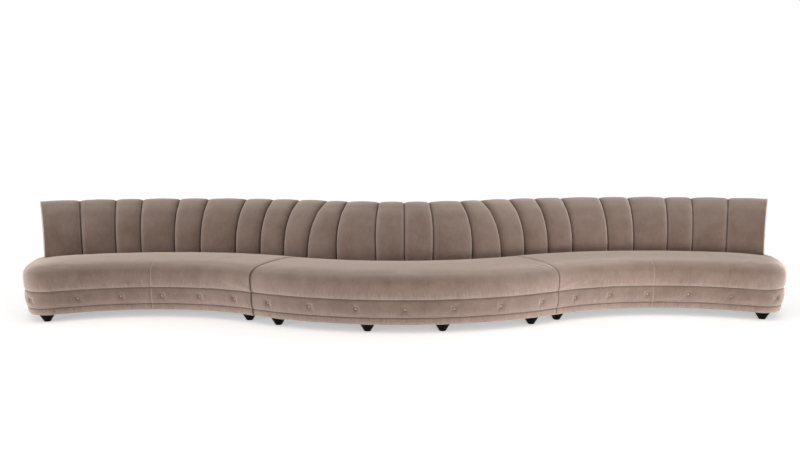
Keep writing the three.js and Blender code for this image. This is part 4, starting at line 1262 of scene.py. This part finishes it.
def tuft_object(module, obj):
    """Tufts a finished band, whose points are already in the sofa's frame."""
    points = vertex_values(obj.data, "co").astype(float)
    points[:, 0] = points[:, 0] * module.side - module.centre[0]
    points[:, 1] -= module.centre[1]
    holder = Cloth()
    holder.points = [tuple(p) for p in points]
    painted_button_shade = tuft_band(module, holder)
    obj.data.vertices.foreach_set("co", module.in_frame(holder.points).astype(np.float32).ravel())
    # The painted shade round each button goes into the cloth attribute's third part
    cloth = obj.data.attributes["cloth"].data
    for index in np.flatnonzero(painted_button_shade > PAINTED_SHADE_LEAST).tolist():
        cloth[index].vector[2] = max(cloth[index].vector[2], painted_button_shade[index])
    obj.data.update()


def make_plinth(module, material):
    sizes = upholstery()
    foot_inset = sizes.plinth_inset + sizes.plinth_taper
    line = course_line(FLOOR_TO_PLINTH, FLOOR_TO_BAND, foot_inset, sizes.plinth_inset, sizes.plinth_bulge)
    inner = sizes.plinth_cover - sizes.edge_roll
    cloth = course_mesh(module, line, inner, sizes.plinth_cover, PLINTH_STEP)
    sink_seam(module, cloth)
    plinth = cloth.to_object(f"{module.name}_plinth", module)
    round_edges(plinth, sizes.edge_roll)
    smooth(plinth)
    unsettle(plinth, PLINTH_WAVES[0], PLINTH_WAVES[1] + module.side)
    shade(plinth)
    return give(plinth, material, module.name, [f"{module.name}_plinth_cover"])


# Buttons

def make_button():
    """One covered button about its own middle, facing +X: a domed cap over a narrower shell."""
    sizes = upholstery()
    deselect_all()
    bpy.ops.mesh.primitive_uv_sphere_add(segments=24, ring_count=12, radius=sizes.button_radius)
    button = bpy.context.object
    mesh = button.data
    squash = sizes.button_rise / sizes.button_radius
    for vertex in mesh.vertices:
        x, y, z = vertex.co
        height = z / sizes.button_radius
        if height < 0:
            z = z * SHELL_DEPTH
            x, y = x * (1 + SHELL_TAPER * height), y * (1 + SHELL_TAPER * height)
        vertex.co = (z * squash, x, y)
    mesh.update()
    only(button)
    bpy.ops.object.mode_set(mode="EDIT")
    bpy.ops.mesh.select_all(action="SELECT")
    bpy.ops.mesh.normals_make_consistent(inside=False)
    bpy.ops.object.mode_set(mode="OBJECT")
    return button


def make_buttons(module, material):
    pattern = make_button()
    copies = []
    for plan_point, outward in button_places(module):
        copy = pattern.copy()
        copy.data = pattern.data.copy()
        bpy.context.scene.collection.objects.link(copy)
        direction = np.array([outward[0] * module.side, outward[1]])
        place = module.in_frame([(plan_point[0], plan_point[1], button_height())])[0]
        place[:2] -= direction * BUTTON_SINK
        turn = math.atan2(direction[1], direction[0])
        copy.rotation_euler = (0, 0, turn)
        copy.location = place
        copies.append(copy)
    bpy.data.objects.remove(pattern)
    deselect_all()
    for copy in copies:
        copy.select_set(True)
    bpy.context.view_layer.objects.active = copies[0]
    bpy.ops.object.transform_apply(location=True, rotation=True, scale=True)
    bpy.ops.object.join()
    buttons = bpy.context.object
    buttons.name = f"{module.name}_buttons"
    shade(buttons)
    return give(buttons, material, module.name, [f"{module.name}_button_row"])


# How deep a button's middle lies under the band's face
BUTTON_SINK = 0.0045
# The shell behind a button's dome: its depth against the dome's, and how much it narrows
SHELL_DEPTH = 0.45
SHELL_TAPER = 0.25


# Feet

def make_foot(name, body, place, material):
    """A turned foot with a stud: a short cylinder shaped ring by ring in edit mode."""
    sizes = bpy.context.scene.sofa_feet
    rings = (
        (sizes.bottom_radius - sizes.edge, 0),
        (sizes.bottom_radius, sizes.edge),
        (sizes.top_radius - sizes.edge, FLOOR_TO_PLINTH - sizes.collar - sizes.edge),
        (sizes.top_radius, FLOOR_TO_PLINTH - sizes.collar),
        (sizes.top_radius, FLOOR_TO_PLINTH - sizes.edge / 2),
        (sizes.top_radius - sizes.edge / 2, FLOOR_TO_PLINTH),
        (sizes.stud_radius, FLOOR_TO_PLINTH),
        (sizes.stud_radius, FLOOR_TO_PLINTH + sizes.stud_length),
    )
    deselect_all()
    bpy.ops.mesh.primitive_circle_add(
        vertices=48, radius=rings[0][0], fill_type="NGON", location=(*place[:2], 0),
    )
    foot = bpy.context.object
    foot.name = foot.data.name = name
    bpy.ops.object.transform_apply(location=True, rotation=True, scale=True)
    bpy.ops.object.mode_set(mode="EDIT")
    for (radius, height), (next_radius, next_height) in zip(rings, rings[1:]):
        bpy.ops.mesh.extrude_region_move(TRANSFORM_OT_translate={"value": (0, 0, next_height - height)})
        ratio = next_radius / radius
        bpy.ops.transform.resize(value=(ratio, ratio, 1), center_override=(*place[:2], next_height))
    bpy.ops.mesh.select_all(action="SELECT")
    bpy.ops.mesh.normals_make_consistent(inside=False)
    bpy.ops.object.mode_set(mode="OBJECT")
    apply_modifier(
        foot, "BEVEL", width=sizes.edge / 4, segments=2, limit_method="ANGLE", angle_limit=TURNED_EDGE_ANGLE,
    )
    shade(foot)
    return give(foot, material, body, [name.replace("_turned_", "_")])


# Dust covers

def make_dust_cover(module, material):
    """The thin cloth under the base: a flat sheet with holes for the feet's studs."""
    sizes = upholstery()
    inset = sizes.plinth_inset + sizes.plinth_taper + sizes.plinth_cover + 2 * sizes.fit_gap
    edges = module.edges(inset, sizes.plinth_cover + 2 * sizes.fit_gap)
    loop = module.loop(inset, sizes.plinth_cover + 2 * sizes.fit_gap)
    cloth = Cloth()
    height = FLOOR_TO_COVER + COVER_LIFT
    rim = cloth.row(raised(loop, height), cloth_run(loop), 0)
    grid_patch(cloth, rim, edges, lambda points: np.full(len(points), height), 0)
    cover = cloth.to_object(f"{module.name}_cambric", module)
    mesh = cover.data
    if mesh.polygons[0].normal.z > 0:
        mesh.flip_normals()
    apply_modifier(cover, "SOLIDIFY", thickness=COVER_SHEET, offset=-1)
    for place in stud_places(module):
        cut(cover, stud_hole(place))
    shade(cover)
    give(cover, material, module.name, [f"{module.name}_dust_cover"])
    return cover


COVER_LIFT = 0.0003
COVER_SHEET = 0.0008
STUD_CLEARANCE = 0.0008


def stud_places(module):
    mounts = frame["record"]["mounts"]
    return [m["pos_m"] for m in mounts if m["name"].startswith(f"{module.name}_foot")]


def stud_hole(place):
    sizes = bpy.context.scene.sofa_feet
    deselect_all()
    bpy.ops.mesh.primitive_cylinder_add(
        vertices=24, radius=sizes.stud_radius + STUD_CLEARANCE, depth=CUT_OVERRUN,
        location=(place[0], place[1], FLOOR_TO_COVER),
    )
    tool = bpy.context.object
    bpy.ops.object.transform_apply(location=True, rotation=True, scale=True)
    return tool


# Materials

def new_material(name):
    """An empty node material with a shader and its output."""
    material = bpy.data.materials.new(name)
    material.use_nodes = True
    material.node_tree.nodes.clear()
    shader = add(material, "ShaderNodeBsdfPrincipled")
    add(material, "ShaderNodeOutputMaterial", {"Surface": shader.outputs["BSDF"]})
    return material, shader


def add(material, kind, inputs=None, **settings):
    """Adds a node with its settings; an input is a value or another node's output."""
    tree = material.node_tree
    node = tree.nodes.new(kind)
    for key, value in settings.items():
        setattr(node, key, value)
    connect(material, node, inputs or {})
    return node


def connect(material, node, inputs):
    for key, value in inputs.items():
        socket = node.inputs[key]
        if isinstance(value, bpy.types.NodeSocket):
            material.node_tree.links.new(value, socket)
        else:
            socket.default_value = value


def rgba(colour_value):
    return (*colour_value, 1)


# Sockets of a Mix node that mixes colours
MIX_A, MIX_B, MIX_RESULT = 6, 7, 2


def mixed(material, amount, first, second):
    """Colour between two colours; at 0 it is the first one."""
    inputs = {0: amount, MIX_A: first, MIX_B: second}
    return add(material, "ShaderNodeMix", inputs, data_type="RGBA").outputs[MIX_RESULT]


def computed(material, operation, *values):
    """Result of one sum on values or other nodes' outputs."""
    return add(material, "ShaderNodeMath", dict(enumerate(values)), operation=operation).outputs[0]


def ranged(material, value, low, high, between=None):
    """A value moved from 0 to 1, or smoothly from between two others, to a range."""
    inputs = {"Value": value, "To Min": low, "To Max": high}
    if between is None:
        return add(material, "ShaderNodeMapRange", inputs).outputs[0]
    inputs["From Min"], inputs["From Max"] = between
    return add(material, "ShaderNodeMapRange", inputs, interpolation_type="SMOOTHSTEP").outputs[0]


def bumped(material, pattern, strength, distance, under=None):
    """Normals with a pattern's unevenness on them, over those of another pattern where given."""
    inputs = {"Height": pattern.outputs["Fac"], "Strength": strength, "Distance": distance}
    if under is not None:
        inputs["Normal"] = under
    return add(material, "ShaderNodeBump", inputs).outputs[0]


def object_place(material):
    return add(material, "ShaderNodeTexCoord").outputs["Object"]


def velvet(name, deep, pale):
    """Cut-pile velvet: deep where the surface faces the eye and a pale painted sheen where it is seen from
    its side, with slow brushed patches, streaks, painted light of the floor's bounce just above each front
    seam, and painted shade in grooves, seams and round buttons."""
    finish = bpy.context.scene.sofa_finish
    material, shader = new_material(name)
    place = object_place(material)
    cloth = add(material, "ShaderNodeAttribute", attribute_name="cloth").outputs["Vector"]
    parts = add(material, "ShaderNodeSeparateXYZ", {"Vector": cloth}).outputs
    # Brushed patches are 120 to 250 mm across, streaks about 7 mm wide and 70 mm long
    patches = add(
        material, "ShaderNodeTexNoise", {"Vector": place, "Scale": 6.0, "Detail": 6.0, "Roughness": 0.66},
    )
    stretch = add(material, "ShaderNodeMapping", {"Vector": cloth, "Scale": (140.0, 14.0, 0.0)})
    streaks = add(material, "ShaderNodeTexNoise", {"Vector": stretch.outputs[0], "Scale": 1.0, "Detail": 3.0})
    # Single tufts of pile are 1 mm, drawn at 5 mm so that they show
    pile = add(
        material, "ShaderNodeTexNoise", {"Vector": place, "Scale": 200.0, "Detail": 3.0, "Roughness": 0.7},
    )
    # Painted light of the floor's bounce: paler just above each front seam, fading out higher up the cloth
    painted_bounce = ranged(material, parts["Y"], 1.0, 0.0, between=(PAINTED_BOUNCE_START, PAINTED_BOUNCE_REACH))
    # Painted sheen: the base colour turns paler where the surface is seen from its side
    painted_sheen = add(material, "ShaderNodeLayerWeight", {"Blend": 0.5}).outputs["Facing"]
    streaked = computed(material, "MULTIPLY_ADD", painted_bounce, STREAK_BOUNCE_SHARE, STREAK_SHARE)
    total = TONE_START
    for source, weight in ((painted_sheen, PAINTED_SHEEN_SHARE), (painted_bounce, PAINTED_BOUNCE_SHARE)):
        total = computed(material, "MULTIPLY_ADD", source, weight, total)
    for pattern, weight in ((patches, PATCH_SHARE), (streaks, streaked), (pile, PILE_SHARE)):
        source = computed(material, "ADD", pattern.outputs["Fac"], -0.5)
        total = computed(material, "MULTIPLY_ADD", source, weight, total)
    tone = mixed(material, total, rgba(deep), rgba(pale))
    # Painted shade in grooves, seams, junctions and round buttons
    painted_shade = computed(material, "MULTIPLY", parts["Z"], PAINTED_SHADE_SHARE)
    tone = mixed(material, painted_shade, tone, rgba(finish.velvet_painted_shade))
    bump = bumped(material, streaks, 0.2, 0.0015, under=bumped(material, pile, 0.4, 0.0018))
    connect(material, shader, {
        "Base Color": tone, "Roughness": 0.92, "Normal": bump, "Specular IOR Level": 0.12,
        "Sheen Weight": 1.0, "Sheen Roughness": 0.45, "Sheen Tint": rgba(finish.velvet_sheen),
    })
    return material


# The velvet's tone: 0 is deep and 1 is pale. It starts from here, and the painted sheen by the slant to the
# eye, the painted light of the floor's bounce, the brushed patches, the streaks and the single tufts add
# their shares
TONE_START = 0.26
PAINTED_SHEEN_SHARE = 0.8
PAINTED_BOUNCE_SHARE = 0.16
PATCH_SHARE = 0.55
PILE_SHARE = 0.55
# Streaks count this much everywhere, and so much more where the floor's bounce light is painted
STREAK_SHARE = 0.18
STREAK_BOUNCE_SHARE = 0.55
# How much of the painted shade's colour a groove, seam or junction takes at its deepest
PAINTED_SHADE_SHARE = 0.9


def velvet_material():
    """The covers' velvet."""
    finish = bpy.context.scene.sofa_finish
    return velvet("cut_pile_velvet_taupe", finish.velvet_deep, finish.velvet_painted_sheen)


def button_material():
    """The same velvet on the buttons, with a paler painted sheen that paints a highlight on their domes."""
    finish = bpy.context.scene.sofa_finish
    return velvet("cut_pile_velvet_taupe_stretched", finish.velvet_deep, finish.button_painted_sheen)


# Up to here above a front seam the painted light of the floor's bounce is at its strongest
PAINTED_BOUNCE_START = 0.005


# How much paler the cambric's fibres are than its ground, how much worn lacquer brightens, and how dull the
# zinc is where it is cloudy
CAMBRIC_PALE = 2.5
LACQUER_WORN = 0.004
ZINC_DULL = 0.8


def cambric_material():
    """Bonded black dust cloth: matt, with a faint fibrous mottle."""
    finish = bpy.context.scene.sofa_finish
    material, shader = new_material("bonded_cambric_black")
    place = object_place(material)
    # Fibre clumps are about 4 mm
    fibres = add(material, "ShaderNodeTexNoise", {"Vector": place, "Scale": 250.0, "Detail": 4.0})
    bump = bumped(material, fibres, 0.4, 0.0006)
    pale = [min(1, CAMBRIC_PALE * c) for c in finish.cambric]
    tone = mixed(material, fibres.outputs["Fac"], rgba(finish.cambric), rgba(pale))
    connect(material, shader, {"Base Color": tone, "Roughness": 0.95, "Normal": bump})
    return material


def birch_material():
    """Birch plywood, sanded and unsealed: pale early wood, darker late wood and glue lines at the edges."""
    finish = bpy.context.scene.sofa_finish
    material, shader = new_material("birch_plywood_sanded")
    place = object_place(material)
    # Grain lines are 4 mm apart across the sheet, plies 1.5 mm thick
    stretch = add(material, "ShaderNodeMapping", {"Vector": place, "Scale": (6.0, 90.0, 330.0)})
    grain = add(
        material, "ShaderNodeTexNoise",
        {"Vector": stretch.outputs[0], "Scale": 1.0, "Detail": 5.0, "Distortion": 0.6},
    )
    bump = bumped(material, grain, 0.2, 0.0004)
    tone = mixed(material, grain.outputs["Fac"], rgba(finish.birch_dark), rgba(finish.birch_pale))
    connect(material, shader, {"Base Color": tone, "Roughness": 0.62, "Normal": bump})
    return material


def lacquer_material():
    """Black lacquer over turned beech, rubbed down until it mirrors almost nothing; faint orange peel."""
    finish = bpy.context.scene.sofa_finish
    material, shader = new_material("black_lacquer_on_beech")
    place = object_place(material)
    # Orange peel is about 3 mm
    peel = add(material, "ShaderNodeTexNoise", {"Vector": place, "Scale": 330.0, "Detail": 1.0})
    dust = add(material, "ShaderNodeTexNoise", {"Vector": place, "Scale": 60.0, "Detail": 4.0})
    bump = bumped(material, peel, 0.08, 0.0005)
    rough = ranged(material, dust.outputs["Fac"], 0.22, 0.38)
    worn = [min(1, c + LACQUER_WORN) for c in finish.lacquer]
    tone = mixed(material, dust.outputs["Fac"], rgba(finish.lacquer), rgba(worn))
    connect(material, shader, {
        "Base Color": tone, "Roughness": rough, "IOR": 1.45, "Specular IOR Level": 0.02, "Normal": bump,
    })
    return material


def zinc_material():
    """Zinc-plated steel: dull bright metal with a fine drawn grain and cloudy passivation."""
    finish = bpy.context.scene.sofa_finish
    material, shader = new_material("zinc_plated_steel")
    place = object_place(material)
    clouds = add(material, "ShaderNodeTexNoise", {"Vector": place, "Scale": 35.0, "Detail": 4.0})
    # Drawn grain is 2 mm apart so that it shows
    stretch = add(material, "ShaderNodeMapping", {"Vector": place, "Scale": (40.0, 40.0, 500.0)})
    grain = add(material, "ShaderNodeTexNoise", {"Vector": stretch.outputs[0], "Scale": 1.0, "Detail": 2.0})
    bump = bumped(material, grain, 0.1, 0.0002)
    rough = ranged(material, clouds.outputs["Fac"], 0.3, 0.5)
    dull = [ZINC_DULL * c for c in finish.zinc]
    tone = mixed(material, clouds.outputs["Fac"], rgba(dull), rgba(finish.zinc))
    connect(material, shader, {"Base Color": tone, "Metallic": 0.95, "Roughness": rough, "Normal": bump})
    return material


def named_material(maker):
    """Each material is made once."""
    if maker not in MADE:
        MADE[maker] = maker()
    return MADE[maker]


MADE = {}


# Stage

def make_camera():
    stage = bpy.context.scene.sofa_stage
    camera = bpy.data.objects.new("camera", bpy.data.cameras.new("camera"))
    camera.data.lens = stage.lens
    camera.data.sensor_width = SENSOR_WIDTH
    camera.location = stage.eye
    camera.rotation_euler = (math.pi / 2 - stage.pitch, stage.roll, 0)
    bpy.context.scene.collection.objects.link(camera)
    bpy.context.scene.camera = camera


# Width of the picture that the lens is given for, in millimetres
SENSOR_WIDTH = 36


def make_lamp(name, place, aim, size, watts, spread):
    lamp = bpy.data.lights.new(name, "AREA")
    lamp.spread = spread
    lamp.shape = "RECTANGLE"
    lamp.size, lamp.size_y = size
    lamp.energy = watts
    obj = bpy.data.objects.new(name, lamp)
    obj.visible_camera = False
    obj.location = place
    direction = Vector(aim) - Vector(place)
    obj.rotation_euler = direction.to_track_quat("-Z", "Y").to_euler()
    bpy.context.scene.collection.objects.link(obj)


def seen_directly(tree_owner):
    """1 for rays from the camera, a gloss or a glass, 0 for the light that falls on things."""
    path = add(tree_owner, "ShaderNodeLightPath").outputs
    camera_or_gloss = computed(tree_owner, "MAXIMUM", path["Is Camera Ray"], path["Is Glossy Ray"])
    return computed(tree_owner, "MAXIMUM", camera_or_gloss, path["Is Transmission Ray"])


def make_world():
    """Even light all round, and plain white where the camera or a gloss sees past the floor."""
    world = bpy.data.worlds.new("studio")
    bpy.context.scene.world = world
    world.use_nodes = True
    world.node_tree.nodes.clear()
    strength = ranged(world, seen_directly(world), bpy.context.scene.sofa_stage.sky, 1.0)
    light = add(world, "ShaderNodeBackground", {"Color": (1, 1, 1, 1), "Strength": strength})
    add(world, "ShaderNodeOutputWorld", {"Surface": light.outputs[0]})


def floor_material():
    """White painted studio floor: part of its white is its own in the picture, and the rest takes the
    shadow. It throws up the light of the lamps that stand outside the picture."""
    finish, stage = bpy.context.scene.sofa_finish, bpy.context.scene.sofa_stage
    material, shader = new_material("painted_studio_floor")
    connect(material, shader, {"Base Color": rgba(finish.floor), "Roughness": 0.9, "Specular IOR Level": 0.1})
    place = object_place(material)
    distance = add(material, "ShaderNodeVectorMath", {0: place}, operation="LENGTH").outputs["Value"]
    own = ranged(material, distance, stage.floor_glow_near, stage.floor_glow, between=LAMPS_REACH)
    seen = seen_directly(material)
    glow = ranged(material, seen, stage.floor_bounce, own)
    tint = mixed(material, seen, rgba(finish.floor_light), (1, 1, 1, 1))
    connect(material, shader, {"Emission Color": tint, "Emission Strength": glow})
    return material


# The lamps light the floor as far as this from the sofa's middle, and less and less up to the second length
LAMPS_REACH = (2.0, 8.0)


FLOOR_SIZE = 60


def make_floor():
    deselect_all()
    bpy.ops.mesh.primitive_plane_add(size=FLOOR_SIZE, location=(0, 0, 0))
    floor = bpy.context.object
    floor.name = "studio_floor"
    floor.data.materials.append(floor_material())


# Operators

class SOFA_OT_stage(bpy.types.Operator):
    """Sets the camera, the soft lights and the white floor."""

    bl_idname = "sofa.stage"
    bl_label = "Stage"

    def execute(self, context):
        stage = context.scene.sofa_stage
        context.scene.view_settings.view_transform = "Standard"
        make_camera()
        make_world()
        for name, place, aim, size, spread in LAMPS:
            make_lamp(f"{name}_soft_box", place, aim, size, getattr(stage, f"{name}_power"), spread)
        make_floor()
        return {"FINISHED"}


# Each soft box: its place, aim, size and spread. A honeycomb grid narrows the low one's light
LAMPS = (
    ("key", (0.9, -1.2, 4.4), (0.3, 0.1, 0.4), (6.0, 3.0), math.pi),
    ("fill", (2.6, -4.8, 1.6), (0.6, 0.0, 0.5), (3.0, 2.0), math.pi),
    ("low", (1.9, -2.9, 0.22), (1.6, -0.1, 0.25), (2.4, 0.4), math.radians(80)),
    ("left", (-4.8, -3.8, 0.85), (-0.9, 0.0, 0.6), (1.2, 2.0), math.pi),
    ("right", (5.3, -2.6, 0.75), (0.9, 0.0, 0.6), (1.2, 2.0), math.pi),
)


class SOFA_OT_seats(bpy.types.Operator):
    """Makes the three rounded seats."""

    bl_idname = "sofa.seats"
    bl_label = "Seats"

    def execute(self, context):
        line = seat_line()
        for name in MODULES:
            make_seat(Module(name), line, named_material(velvet_material))
        return {"FINISHED"}


class SOFA_OT_backs(bpy.types.Operator):
    """Makes the three channelled backs."""

    bl_idname = "sofa.backs"
    bl_label = "Channelled backs"

    def execute(self, context):
        lines = back_lines()
        for name in MODULES:
            make_back(Module(name), lines, named_material(velvet_material))
        return {"FINISHED"}


class SOFA_OT_outer_backs(bpy.types.Operator):
    """Makes the plain panels behind the backs."""

    bl_idname = "sofa.outer_backs"
    bl_label = "Outer backs"

    def execute(self, context):
        lines = back_lines()
        for name in MODULES:
            make_outer_back(Module(name), lines, named_material(velvet_material))
        return {"FINISHED"}


class SOFA_OT_bands(bpy.types.Operator):
    """Makes the padded bands that carry the buttons."""

    bl_idname = "sofa.bands"
    bl_label = "Button bands"

    def execute(self, context):
        for name in MODULES:
            make_band(Module(name, tufted=True), named_material(velvet_material))
        return {"FINISHED"}


class SOFA_OT_buttons(bpy.types.Operator):
    """Makes the covered buttons."""

    bl_idname = "sofa.buttons"
    bl_label = "Buttons"

    def execute(self, context):
        for name in MODULES:
            make_buttons(Module(name), named_material(button_material))
        return {"FINISHED"}


class SOFA_OT_plinths(bpy.types.Operator):
    """Makes the recessed plinth covers."""

    bl_idname = "sofa.plinths"
    bl_label = "Plinths"

    def execute(self, context):
        for name in MODULES:
            make_plinth(Module(name), named_material(velvet_material))
        return {"FINISHED"}


class SOFA_OT_feet(bpy.types.Operator):
    """Makes the turned feet."""

    bl_idname = "sofa.feet"
    bl_label = "Feet"

    def execute(self, context):
        lacquer = named_material(lacquer_material)
        for mount in frame["record"]["mounts"]:
            node = mount["name"].removesuffix("_face")
            body, rest = node.split("_", 1)
            make_foot(f"{body}_turned_{rest}", body, mount["pos_m"], lacquer)
        return {"FINISHED"}


class SOFA_OT_dust_covers(bpy.types.Operator):
    """Makes the cambric under the base."""

    bl_idname = "sofa.dust_covers"
    bl_label = "Dust covers"

    def execute(self, context):
        for name in MODULES:
            make_dust_cover(Module(name), named_material(cambric_material))
        return {"FINISHED"}


class SOFA_OT_woodwork(bpy.types.Operator):
    """Finishes the boards, frames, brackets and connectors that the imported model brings."""

    bl_idname = "sofa.woodwork"
    bl_label = "Frames and fittings"

    def execute(self, context):
        for name, node in frame["nodes"].items():
            if name.endswith(("_base_board", "_seat_frame", "_seat_deck", "_back_frame")):
                finish_node(node, named_material(birch_material))
            elif "_bracket" in name or "_connector_" in name:
                finish_node(node, named_material(zinc_material))
        return {"FINISHED"}


def finish_node(node, material):
    if not node.material_slots:
        node.data.materials.append(material)
    for holder in node.material_slots:
        holder.material = material


OPERATORS = (
    SOFA_OT_stage, SOFA_OT_seats, SOFA_OT_backs, SOFA_OT_outer_backs, SOFA_OT_bands, SOFA_OT_buttons,
    SOFA_OT_plinths, SOFA_OT_feet, SOFA_OT_dust_covers, SOFA_OT_woodwork,
)


class SOFA_PT_panel(bpy.types.Panel):
    """Lists the sofa's pieces in the sidebar."""

    bl_idname = "SOFA_PT_panel"
    bl_label = "Curved Sofa"
    bl_space_type = "VIEW_3D"
    bl_region_type = "UI"
    bl_category = "Sofa"

    def draw(self, context):
        for operator in OPERATORS:
            self.layout.operator(operator.bl_idname)


def register():
    for group in PROPERTY_GROUPS.values():
        bpy.utils.register_class(group)
    for name, group in PROPERTY_GROUPS.items():
        setattr(bpy.types.Scene, name, bpy.props.PointerProperty(type=group))
    for operator in OPERATORS:
        bpy.utils.register_class(operator)
    bpy.utils.register_class(SOFA_PT_panel)


def unregister():
    bpy.utils.unregister_class(SOFA_PT_panel)
    for operator in reversed(OPERATORS):
        bpy.utils.unregister_class(operator)
    for name in PROPERTY_GROUPS:
        delattr(bpy.types.Scene, name)
    for group in PROPERTY_GROUPS.values():
        bpy.utils.unregister_class(group)


def main():
    register()
    bpy.ops.sofa.stage()
    bpy.ops.sofa.seats()
    bpy.ops.sofa.backs()
    bpy.ops.sofa.outer_backs()
    bpy.ops.sofa.bands()
    bpy.ops.sofa.buttons()
    bpy.ops.sofa.plinths()
    bpy.ops.sofa.feet()
    bpy.ops.sofa.dust_covers()
    bpy.ops.sofa.woodwork()


if __name__ == "__main__":
    main()
